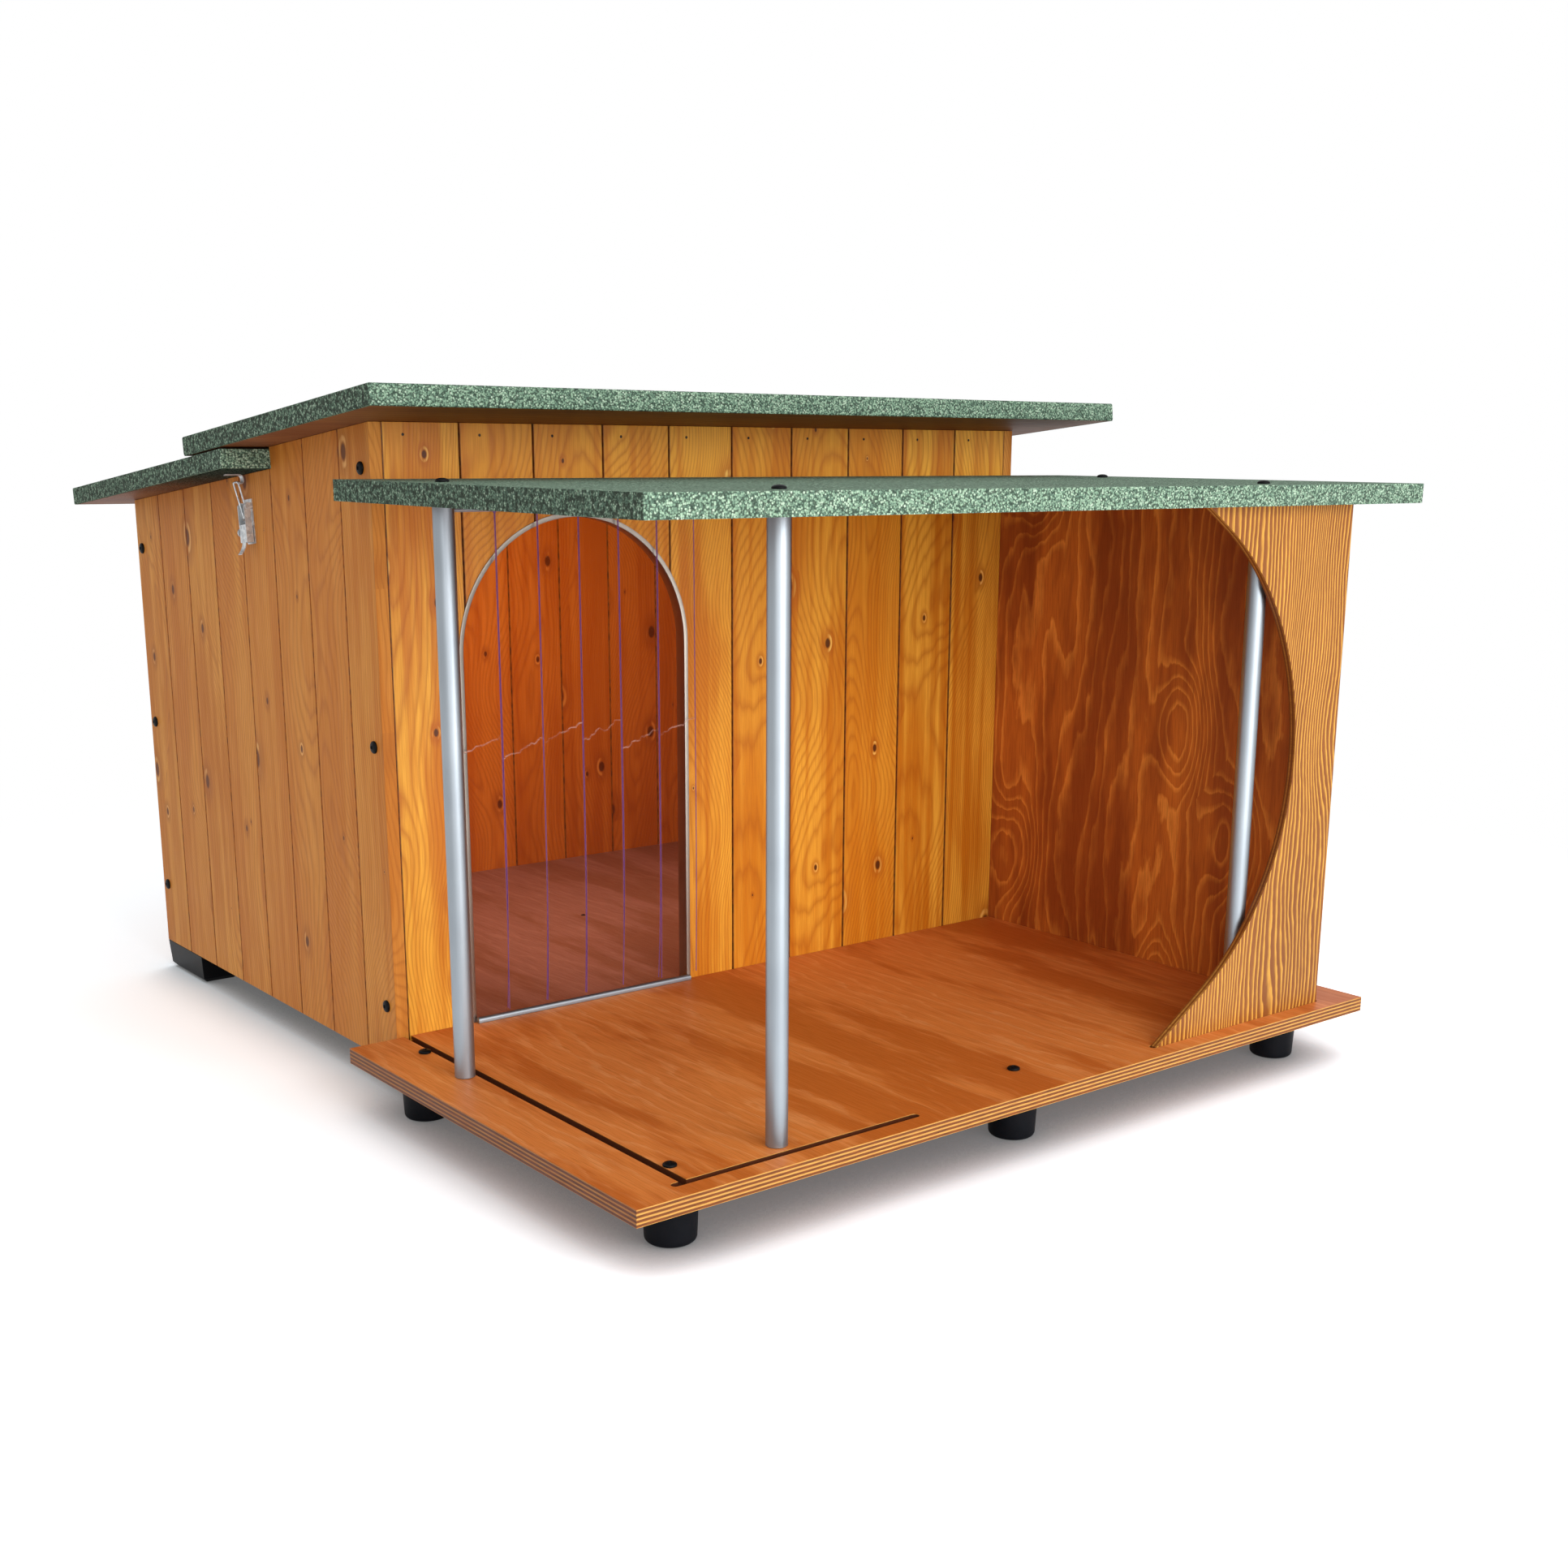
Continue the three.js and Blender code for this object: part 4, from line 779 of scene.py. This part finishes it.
# %% [markdown]
# ## Front panel
# The front panel closes the right of the veranda with a round cut. Its edge is what the eye
# follows, so it is built again from the radius and the height that the solid has, with many
# more points on the arc: the arc runs out along its tangents to the floor and to the roof.

# %% Front panel with a smooth arc
ARC_RADIUS = 356 * MM
ARC_HEIGHT = 438 * MM  # of its centre
ARC_NECK = 89 * MM  # what is left of the panel beside the arc
ARC_TANGENT = math.radians(57)
ARC_STEPS = 96


def arc(centre, radius, start, end, steps):
    """Points of an arc in a plane, from one angle to another."""
    angles = [start + (end - start) * i / steps for i in range(steps + 1)]
    return [(centre[0] + radius * math.cos(a), centre[1] + radius * math.sin(a)) for a in angles]


def slab(name, outline, place, thickness, radius):
    """An upright sheet: an outline in (x, z), from y = place to the rear, with eased edges."""
    mesh = bmesh.new()
    corners = [mesh.verts.new((x, place, z)) for x, z in outline]
    face = mesh.faces.new(corners)
    grown = bmesh.ops.extrude_face_region(mesh, geom=[face])
    moved = [v for v in grown["geom"] if isinstance(v, bmesh.types.BMVert)]
    bmesh.ops.translate(mesh, verts=moved, vec=(0, thickness, 0))
    bmesh.ops.recalc_face_normals(mesh, faces=mesh.faces)
    edges = [e for e in mesh.edges if e.calc_face_angle() > SHARP]
    bmesh.ops.bevel(mesh, geom=edges, offset=radius, segments=2, profile=0.5, affect="EDGES")
    smooth_by_angle(mesh)
    return keep_flat(show(name, mesh))


def front_panel():
    """The panel's outline, round from its foot over its outer side to the arc."""
    low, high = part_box("front_panel")
    centre = (high.x - ARC_NECK - ARC_RADIUS, ARC_HEIGHT)
    cut = arc(centre, ARC_RADIUS, ARC_TANGENT, -ARC_TANGENT, ARC_STEPS)
    run_out = math.tan(ARC_TANGENT)
    foot = (cut[-1][0] - (cut[-1][1] - FLOOR_LEVEL) * run_out, FLOOR_LEVEL)
    head = (cut[0][0] - (high.z - cut[0][1]) * run_out, high.z)
    outline = [(foot[0], low.z), (high.x, low.z), (high.x, high.z), head, *cut, foot]
    piece = slab("front_panel_sheet", outline, low.y, high.y - low.y, 0.6 * MM)
    return finish_piece(piece, FRONT_PANEL_PLY, "front_panel")


panel = front_panel()
print("front panel corners:", len(panel.data.vertices))

# %% [markdown]
# ## Shingle covers
# Felt can't fold sharply round a board: it turns on a radius of about 3 mm, which its thickness
# and its crust of granules set. The trays are eased by that much, in three steps.

# %% Covers with soft edges
FELT_TURN = 2.6 * MM

for cover in ("veranda_roof_cover", "upper_roof_cover", "lower_roof_cover"):
    eased(cover, SHINGLE, FELT_TURN, segments=3)
print("covers turned on a radius of", round(FELT_TURN / MM, 1), "mm")

# %% [markdown]
# ## Turned parts
# Posts, feet and bolts are round. A profile of radius and height turned about an upright axis
# makes each of them, with enough sides to look round close up.

# %% Turning, and the posts
SIDES = 64
ORIGIN = Vector((0, 0, 0))
STUD_RADIUS = 3 * MM
POST_TURN = 0.6 * MM  # the round at each end of a tube
POST_NAMES = ("rear_left", "rear_right", "front_left", "front_right")
FOOT_NAMES = POST_NAMES + ("front_middle",)


def turned(name, profile, centre, sides=SIDES):
    """Turns a closed profile of (radius, height) about the upright axis through centre."""
    mesh = bmesh.new()
    corners = [mesh.verts.new((radius, 0, height)) for radius, height in profile]
    pairs = list(zip(corners, corners[1:]))
    edges = [mesh.edges.new(pair) for pair in pairs]
    bmesh.ops.spin(mesh, geom=corners + edges, axis=(0, 0, 1), cent=(0, 0, 0),
                   steps=sides, angle=math.tau, use_duplicate=False)
    bmesh.ops.remove_doubles(mesh, verts=mesh.verts, dist=0.001 * MM)
    bmesh.ops.recalc_face_normals(mesh, faces=mesh.faces)
    bmesh.ops.translate(mesh, verts=mesh.verts, vec=centre)
    smooth_by_angle(mesh)
    return show(name, mesh)


def above_middle(low, high, height=0.0):
    """The point over the middle of a box, at a height."""
    return Vector(((low.x + high.x) / 2, (low.y + high.y) / 2, height))


def post_tube(name):
    """A tube with rounded ends, on the stud below it."""
    low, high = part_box("post_" + name)
    radius, foot = (high.x - low.x) / 2, FLOOR_LEVEL + SEAT
    stud = [(0, low.z), (STUD_RADIUS, low.z), (STUD_RADIUS, foot)]
    lower = [(radius - POST_TURN, foot), (radius, foot + POST_TURN)]
    upper = arc((radius - POST_TURN, high.z - POST_TURN), POST_TURN, 0, math.pi / 2, 4)
    profile = [*stud, *lower, *upper, (0, high.z)]
    piece = turned("post_tube_" + name, profile, above_middle(low, high))
    return finish_piece(piece, ALUMINIUM, "post_" + name)


for name in POST_NAMES:
    post_tube(name)
print("posts turned with", SIDES, "sides")


# %% Rubber feet
SOLE_TAPER = 3 * MM  # a foot is narrower at its sole by this
SOLE_TURN = 6 * MM
FOOT_RIM = ((0.6, 5.2), (0.0, 4.6), (0.0, 0.8), (0.8, 0.0))  # mm in from the side, and down


def rubber_foot(name):
    """Conical, wider at its top, with a moulded rim and a rounded sole."""
    low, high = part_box("platform_foot_" + name)
    radius, top = (high.x - low.x) / 2, high.z
    middle = radius - SOLE_TAPER - SOLE_TURN
    quarter = arc((middle, SOLE_TURN), SOLE_TURN, math.pi / 2, 0, 6)
    heel = [(x, 2 * SOLE_TURN - y) for x, y in quarter]
    rim = [(radius - inward * MM, top - down * MM) for inward, down in FOOT_RIM]
    profile = [(0, 0), *heel, *rim, (0, top)]
    piece = turned("rubber_foot_" + name, profile, above_middle(low, high))
    return finish_piece(piece, RUBBER, "platform_foot_" + name)


for name in FOOT_NAMES:
    rubber_foot(name)
print("feet:", len(FOOT_NAMES))

# %% [markdown]
# ## Bolts and screw caps
# Every bolt on the platform, the roof and the walls ends in a black plastic cap: a low dome
# with a small dimple where the driver goes. One turned profile serves for all of them, laid
# flat for the platform and turned on its side for the walls.

# %% Caps
CAP_RADIUS = 8 * MM
CAP_HEIGHT = 4.5 * MM
CAP_RIM = 1.4 * MM  # the height at which the dome begins
CAP_EASE = 0.3 * MM
DIMPLE = 2.4 * MM
PLATFORM_SHANK, ROOF_SHANK, WALL_SHANK = 4 * MM, 3 * MM, 2 * MM  # radii


def cap_profile(shank_radius, shank_length):
    """A domed cap that stands at zero height, with a dimple above and a shank below."""
    quarter = arc((0, 0), 1.0, 0, math.pi / 2, 10)
    dome = [(x * CAP_RADIUS, CAP_RIM + y * (CAP_HEIGHT - CAP_RIM)) for x, y in quarter]
    dome = [(x, y) for x, y in dome if x > DIMPLE]
    lip = dome[-1][1]
    hollow = [(DIMPLE, lip + 0.05 * MM), (DIMPLE * 0.82, lip - 1.2 * MM), (0, lip - 1.3 * MM)]
    shank = [(0, -shank_length), (shank_radius, -shank_length), (shank_radius, 0)]
    return [*shank, (CAP_RADIUS - CAP_EASE, 0), (CAP_RADIUS, CAP_EASE), *dome, *hollow]


def bolt(node, shank_radius):
    """A bolt with its cap on top and its shank down to where the solid ends."""
    low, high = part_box(node)
    under_cap = high.z - CAP_HEIGHT
    profile = cap_profile(shank_radius, high.z - low.z - CAP_HEIGHT)
    piece = turned(node + "_capped", profile, above_middle(low, high, under_cap), 40)
    return finish_piece(piece, PLASTIC, node)


for name in FOOT_NAMES:
    bolt("platform_bolt_" + name, PLATFORM_SHANK)
for name in POST_NAMES:
    bolt("roof_bolt_" + name, ROOF_SHANK)
print("bolts:", len(FOOT_NAMES) + len(POST_NAMES))


# %% Wall screw caps
FRONT_CAP_DEPTH, REAR_CAP_DEPTH = 24, 804  # from the front wall, in millimetres
FRONT_CAP_HEIGHTS = (806, 463, 122)
REAR_CAP_HEIGHTS = (680, 408, 142)
CAP_STEM = 6 * MM


def wall_cap(name, place, outward):
    """A cap on a side wall. outward is -1 on the left wall and 1 on the right."""
    piece = turned(name, cap_profile(WALL_SHANK, CAP_STEM), ORIGIN, 32)
    piece.data.transform(Matrix.Translation(place) @ Matrix.Rotation(outward * math.pi / 2, 4, "Y"))
    piece.data.materials.append(PLASTIC)
    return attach(piece, "house")


CABIN_WIDTH = (CABIN_RIGHT - CABIN_LEFT) / MM
made = 0
for depth, heights in ((FRONT_CAP_DEPTH, FRONT_CAP_HEIGHTS), (REAR_CAP_DEPTH, REAR_CAP_HEIGHTS)):
    for height in heights:
        for side, x, outward in (("left", 0, -1), ("right", CABIN_WIDTH, 1)):
            wall_cap(f"wall_cap_{side}_{depth}_{height}", on_cabin(x, depth, height), outward)
            made += 1
print("wall caps:", made)

# %% Floor screw
FLOOR_SCREW = on_cabin(547, 412, 84)
SCREW_PROFILE = ((0, -12), (2, -12), (2, 0), (4, 0), (3.4, 0.9), (1.6, 1.3), (1.2, 0.5), (0, 0.5))

screw_head = [(radius * MM, height * MM) for radius, height in SCREW_PROFILE]
screw = turned("cabin_floor_screw", screw_head, FLOOR_SCREW, 24)
screw.data.materials.append(PLASTIC)
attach(screw, "house")
print("floor screw at", [round(v, 3) for v in FLOOR_SCREW])

# %% [markdown]
# ## Doorway trim and door bar
# A strip of aluminium is folded over the cut edge of the arch, with a lip on each face of the
# wall. Its section is a U, carried round the path of the doorway, up one jamb, over the arch
# and down the other. Building it ring by ring keeps the arch smooth.

# %% Arch trim
DOOR_CENTRE = 290 * MM  # from the cabin's left side
DOOR_RADIUS = 174 * MM
DOOR_TOP = 745 * MM
ARCH_STEPS = 72
TRIM = 1.2 * MM
TRIM_BEND = 0.9 * MM
LIP = 4.5 * MM


def door_path():
    """The doorway's edge as (middle point, outward direction), in (x, z)."""
    spring = DOOR_TOP - DOOR_RADIUS
    path = [((-DOOR_RADIUS, FLOOR_LEVEL + SEAT), (-1, 0)), ((-DOOR_RADIUS, spring), (-1, 0))]
    for i in range(1, ARCH_STEPS):
        a = math.pi - math.pi * i / ARCH_STEPS
        way = (math.cos(a), math.sin(a))
        path.append(((DOOR_RADIUS * way[0], spring + DOOR_RADIUS * way[1]), way))
    return path + [((DOOR_RADIUS, spring), (1, 0)), ((DOOR_RADIUS, FLOOR_LEVEL + SEAT), (1, 0))]


def trim_section():
    """The U in (outward, depth): a web inside the cut and a rounded lip on each face."""
    front, back = -SEAT - TRIM, BOARD_THICKNESS + SEAT + TRIM
    web, bend, corner = -SEAT - TRIM, TRIM_BEND, TRIM_BEND * 0.3
    outer = [(LIP, front), (web + bend, front), (web + corner, front + corner), (web, front + bend),
             (web, back - bend), (web + corner, back - corner), (web + bend, back), (LIP, back)]
    inner = [(LIP, back - TRIM), (-SEAT, back - TRIM), (-SEAT, front + TRIM), (LIP, front + TRIM)]
    return outer + inner


def arch_trim():
    """The section set up at each point of the path, and joined from ring to ring."""
    mesh = bmesh.new()
    section = trim_section()
    rings = []
    for (x, z), (out_x, out_z) in door_path():
        edge = CABIN_LEFT + DOOR_CENTRE + x
        places = [(edge + out_x * a, CABIN_FRONT + b, z + out_z * a) for a, b in section]
        rings.append([mesh.verts.new(place) for place in places])
    for ring, after in zip(rings, rings[1:]):
        for i in range(len(section)):
            j = (i + 1) % len(section)
            mesh.faces.new((ring[i], ring[j], after[j], after[i]))
    mesh.faces.new(rings[0])
    mesh.faces.new(rings[-1][::-1])
    bmesh.ops.recalc_face_normals(mesh, faces=mesh.faces)
    smooth_by_angle(mesh)
    return finish_piece(show("arch_trim_folded", mesh), TRIM_ALUMINIUM, "arch_trim")


arch_trim()
eased("door_bar", ALUMINIUM, 0.3 * MM)
eased("curtain_rail", ALUMINIUM, 0.3 * MM)
print("door trim, bar and curtain rail made")

# %% [markdown]
# ## Strip curtain
# Six strips of soft PVC hang on the rod. Each is welded into a loop at its top, and none hangs
# quite flat: it keeps a little of the bow it had on the roll, and its lower end curls in.
# A grid of points across and down the strip takes that bow, and gets a second face behind it.

# %% How a strip hangs
STRIPS = 6
STRIP_THICKNESS = 2 * MM
STRIP_COLUMNS = 6
STRIP_ROWS = 48
CURL_FROM = 0.7  # the share of its length at which a strip's end begins to curl
CUP, CUP_FULL = 1.2 * MM, 80 * MM  # how hollow a strip is, and how far down it is fully so


def strip_line(drop, bow, curl, loop_radius):
    """A strip seen from its side: (y, z) from the rod, down the sheet."""
    line = []
    for i in range(STRIP_ROWS + 1):
        share = i / STRIP_ROWS
        curled = (max(0.0, share - CURL_FROM) / (1 - CURL_FROM)) ** 2
        y = -bow * math.sin(math.pi * share) * share + curl * curled
        line.append((y, -loop_radius - (drop - loop_radius) * share))
    return line


def strip_face(mesh, rod, line, width, depth):
    """The points of one face, row by row down the line."""
    grid = []
    for y, z in line:
        row = []
        for column in range(STRIP_COLUMNS + 1):
            across = column / STRIP_COLUMNS - 0.5
            cup = CUP * across * across * min(1.0, -z / CUP_FULL)
            row.append(mesh.verts.new(rod + Vector((width * across, y + depth - cup, z))))
        grid.append(row)
    return grid


print("strip points:", (STRIP_ROWS + 1) * (STRIP_COLUMNS + 1), "on each face")

# %% Sheet and loop
LOOP_STEPS = 20


def close_sheet(mesh, front, back):
    """Joins two grids of points into a sheet: its faces, its sides and its ends."""
    for i in range(STRIP_ROWS):
        for j in range(STRIP_COLUMNS):
            mesh.faces.new((front[i][j], front[i][j + 1], front[i + 1][j + 1], front[i + 1][j]))
            mesh.faces.new((back[i][j], back[i + 1][j], back[i + 1][j + 1], back[i][j + 1]))
        mesh.faces.new((front[i][0], front[i + 1][0], back[i + 1][0], back[i][0]))
        mesh.faces.new((front[i][-1], back[i][-1], back[i + 1][-1], front[i + 1][-1]))
    for j in range(STRIP_COLUMNS):
        mesh.faces.new((front[-1][j], front[-1][j + 1], back[-1][j + 1], back[-1][j]))
        mesh.faces.new((front[0][j], back[0][j], back[0][j + 1], front[0][j + 1]))


def strip_loop(mesh, rod, width, outer):
    """The welded loop that turns on the rod."""
    loop = []
    for i in range(LOOP_STEPS):
        a = math.tau * i / LOOP_STEPS
        ring = [Vector((x, r * math.cos(a), r * math.sin(a)))
                for x in (-width / 2, width / 2) for r in (outer, outer - STRIP_THICKNESS)]
        loop.append([mesh.verts.new(rod + place) for place in ring])
    for ring, after in zip(loop, loop[1:] + loop[:1]):
        for a, b in ((0, 2), (2, 3), (3, 1), (1, 0)):
            mesh.faces.new((ring[a], ring[b], after[b], after[a]))


def curtain_strip(number):
    """Strip 1 hangs on the left. The outer two meet the jambs, so they curl less."""
    node = f"curtain_strip_{number}"
    low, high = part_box(node)
    luck = random.Random(number)
    bow = luck.uniform(0.4, 2.2) * MM
    curl = luck.uniform(5.0, 8.0) * MM if 1 < number < STRIPS else 1.5 * MM
    outer = (high.y - low.y) / 2
    rod = above_middle(low, high, high.z - outer)
    width, half = high.x - low.x, STRIP_THICKNESS / 2
    line = strip_line(rod.z - low.z, bow, curl, outer - half)
    mesh = bmesh.new()
    front, back = [strip_face(mesh, rod, line, width, depth) for depth in (-half, half)]
    close_sheet(mesh, front, back)
    strip_loop(mesh, rod, width, outer)
    bmesh.ops.recalc_face_normals(mesh, faces=mesh.faces)
    smooth_by_angle(mesh)
    return finish_piece(show(f"pvc_strip_{number}", mesh), PVC, node)


for number in range(1, STRIPS + 1):
    curtain_strip(number)
print("strips hung:", STRIPS)

# %% [markdown]
# ## Latches
# Each latch is pressed from zinc-plated sheet: a base with two ears, a channel lever that turns
# on the ears, a bent wire bail and a hooked catch. Sheet steel turns its corners on about half
# its thickness, and a blanked edge is nearly sharp, so the round is only a quarter millimetre.

# %% Latch parts
for side in ("left", "right"):
    for part in ("latch_base", "latch_lever", "roof_catch"):
        eased(f"{part}_{side}", ZINC, 0.25 * MM)
    eased(f"latch_bail_{side}", ZINC, 0)
print("latch parts finished")

# %% [markdown]
# ## Battens, blocks and nails
# Under the house, battens carry the cabin floor and plastic blocks carry the walls. In front, a
# nail holds each wall board at its top: its small dark head sits a thumb's width in from the
# joint on the left, just under the roof.

# %% Battens and blocks
CORNERS = ("front_left", "front_right", "rear_left", "rear_right")
for corner in CORNERS:
    eased("corner_post_" + corner, BATTEN_UPRIGHT, 1.0 * MM)
    eased("cabin_foot_" + corner, PLASTIC, 1.0 * MM)
eased("floor_frame", BATTEN_LONG, 1.0 * MM)
for side in ("left", "right"):
    eased("roof_rail_" + side, BATTEN_LONG, 1.0 * MM)
print("battens and blocks finished")

# %% Nails
NAIL_IN = 29  # from the joint on a board's left, in millimetres
NAIL_HEIGHT = 846
NAIL_PROFILE = ((0, -4), (0.8, -4), (0.8, 0), (1.9, 0), (1.7, 0.4), (0, 0.6))  # millimetres


def nail(name, place):
    """A nail head on the front wall, with its shank in the board."""
    head = [(radius * MM, height * MM) for radius, height in NAIL_PROFILE]
    piece = turned(name, head, ORIGIN, 16)
    piece.data.transform(Matrix.Translation(place) @ Matrix.Rotation(math.pi / 2, 4, "X"))
    piece.data.materials.append(NAIL_STEEL)
    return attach(piece, "house")


for i in range(BOARDS_ACROSS):
    joint = (BOARD_THICKNESS + i * BOARD_COVER) / MM
    nail(f"nail_{i + 1}", on_cabin(joint + NAIL_IN, 0, NAIL_HEIGHT))
print("nails:", BOARDS_ACROSS)

# %% [markdown]
# ## Camera
# The photograph was taken from the front left at about the height of the roof, with the camera
# tilted down a little. A long room and a 42 mm lens on a full frame give this view. The shift
# keeps the upright lines as they are and moves the frame so that the whole house is in it.

# %% Camera
CAMERA_PLACE = (-1.58336, -2.20598, 0.81881)
CAMERA_TURN, CAMERA_TILT, CAMERA_ROLL = -0.6632, -0.2392, 0.0022  # radians

lens = bpy.data.cameras.new("studio_camera")
lens.lens = 41.91
lens.sensor_width = 36.0
lens.shift_x = 0.0109
lens.shift_y = 0.0761
camera = bpy.data.objects.new("studio_camera", lens)
camera.matrix_world = (Matrix.Translation(CAMERA_PLACE) @ Matrix.Rotation(CAMERA_TURN, 4, "Z")
                       @ Matrix.Rotation(math.pi / 2 + CAMERA_TILT, 4, "X")
                       @ Matrix.Rotation(CAMERA_ROLL, 4, "Z"))
bpy.context.scene.collection.objects.link(camera)
bpy.context.scene.camera = camera
print("camera", round((Vector(CAMERA_PLACE)).length, 2), "m from the middle of the house")

# %% [markdown]
# ## Studio light
# A white room lights the house evenly. A large soft box straight in front, low enough to reach
# under the veranda roof, makes the front bright, and a weaker one beside the camera lights the
# inside through the doorway. The long left side stays a little darker. A small lamp over the
# doorway, inside the cabin, stands for the light that the white studio throws in there. Glossy
# and clear surfaces, and the camera, see the room as plain white.

# %% World
ROOM_LIGHT = 0.64


def seen_as_backdrop(tree):
    """1 for the camera and for what glossy and clear surfaces show, and 0 for plain light."""
    ray = add(tree, "LightPath")
    camera_ray, clear_ray = ray.outputs["Is Camera Ray"], ray.outputs["Is Transmission Ray"]
    seen = add(tree, "Math", {0: camera_ray, 1: clear_ray}, operation="MAXIMUM")
    return add(tree, "Math", {0: seen, 1: ray.outputs["Is Glossy Ray"]}, operation="MAXIMUM")


world = bpy.data.worlds.new("white_room")
bpy.context.scene.world = world
world.use_nodes = True
room = world.node_tree
room.nodes.clear()
seen = seen_as_backdrop(room)
strength = add(room, "MapRange", {0: seen, 1: 0.0, 2: 1.0, 3: ROOM_LIGHT, 4: 1.0})
sky = add(room, "Background", {"Color": "#ffffff", "Strength": strength})
room.links.new(sky.outputs[0], add(room, "OutputWorld").inputs[0])
print("room light", ROOM_LIGHT)

# %% Lamps
KEY = {"place": (0.1, -3.7, 1.05), "target": (0.05, 0.0, 0.45), "power": 98.0, "size": 2.6}
FILL = {"place": (-2.1, -3.0, 1.0), "target": (0.0, 0.1, 0.4), "power": 28.0, "size": 2.6}
CABIN = {"place": on_cabin(560, 190, 700), "target": on_cabin(480, 824, 300), "power": 3.6,
         "size": 0.3}


def lamp(name, place, target, power, size):
    """A square soft box at a place, turned to a target, with its power in watts."""
    light = bpy.data.lights.new(name, "AREA")
    light.energy = power
    light.size = size
    holder = bpy.data.objects.new(name, light)
    holder.location = place
    holder.rotation_euler = (Vector(target) - Vector(place)).to_track_quat("-Z", "Y").to_euler()
    bpy.context.scene.collection.objects.link(holder)
    return holder


lamp("key_soft_box", **KEY)
lamp("fill_soft_box", **FILL)
cabin_lamp = lamp("cabin_light", **CABIN)
cabin_lamp.visible_camera = False
cabin_lamp.visible_glossy = False
print("key", KEY["power"], "W, fill", FILL["power"], "W and cabin", CABIN["power"], "W")

# %% [markdown]
# ## Floor
# The floor is a cool matt white, because the orange wood throws a warm light on it. Its shadow is
# painted: the nearer the house, the less of the room a point of the floor sees, and that share
# sets the tone that the camera sees. For the camera, it turns to plain white with distance, so no
# horizon shows.

# %% Floor
FLOOR_SIZE = 16.0
FADE_FROM, FADE_TO = 1.2, 2.2  # from the middle of the house, in metres
SHADOW_REACH = 0.18
OPEN_FROM, OPEN_TO = 0.18, 0.76  # shares of open room at the darkest and the lightest tone
FLOOR_LIFT = 0.12
LIT_FLOOR = (1.42, 1.5, 1.56, 1.0)  # where the whole room reaches it
SHADED_FLOOR = (0.12, 0.13, 0.14, 1.0)


def white_floor():
    """Two floors in one: a matt one that light meets, and the one that is seen, with its shadow
    painted.
    """
    material = bpy.data.materials.new("matt_white_floor")
    material.use_nodes = True
    t = material.node_tree
    t.nodes.clear()
    spot = add(t, "TexCoord").outputs["Object"]
    distance = add(t, "VectorMath", {0: spot}, operation="LENGTH").outputs["Value"]
    far = add(t, "MapRange", {0: distance, 1: FADE_FROM, 2: FADE_TO, 3: 0.0, 4: 1.0}, **SMOOTH)
    dust = add(t, "TexNoise", {"Vector": spot, "Scale": 30.0, "Detail": 2.0})
    tone = add(t, "Mix", {"Factor": dust, "A": "#e9e9e9", "B": "#ededed"}, **RGBA)
    matt = add(t, "BsdfDiffuse", {"Color": tone})
    # painted shadow: the tone that the camera sees follows the share of open room round each point
    share = add(t, "AmbientOcclusion", {"Distance": SHADOW_REACH}, samples=16).outputs["AO"]
    share = add(t, "MapRange", {0: share, 1: OPEN_FROM, 2: OPEN_TO, 3: 0.0, 4: 1.0})
    tone = add(t, "Mix", {"Factor": share, "A": SHADED_FLOOR, "B": LIT_FLOOR}, **RGBA)
    glow = add(t, "Emission", {"Color": "#ffffff", "Strength": FLOOR_LIFT})
    near = add(t, "AddShader", {0: add(t, "BsdfDiffuse", {"Color": tone}), 1: glow})
    white = add(t, "Emission", {"Color": "#ffffff", "Strength": 1.0})
    shown = add(t, "MixShader", {0: far, 1: near, 2: white})
    both = add(t, "MixShader", {0: seen_as_backdrop(t), 1: matt, 2: shown})
    t.links.new(both.outputs[0], add(t, "OutputMaterial").inputs[0])
    return material


half = FLOOR_SIZE / 2
corners = ((-half, -half), (half, -half), (half, half), (-half, half))
ground = bmesh.new()
ground.faces.new([ground.verts.new((x, y, 0)) for x, y in corners])
floor = show("studio_floor", ground)
floor.data.materials.append(white_floor())
print("floor", FLOOR_SIZE, "m square")

# %% [markdown]
# ## View transform
# The view transform is the plain one, so a colour renders as it is written.

# %% Finish
bpy.context.scene.view_settings.view_transform = "Standard"
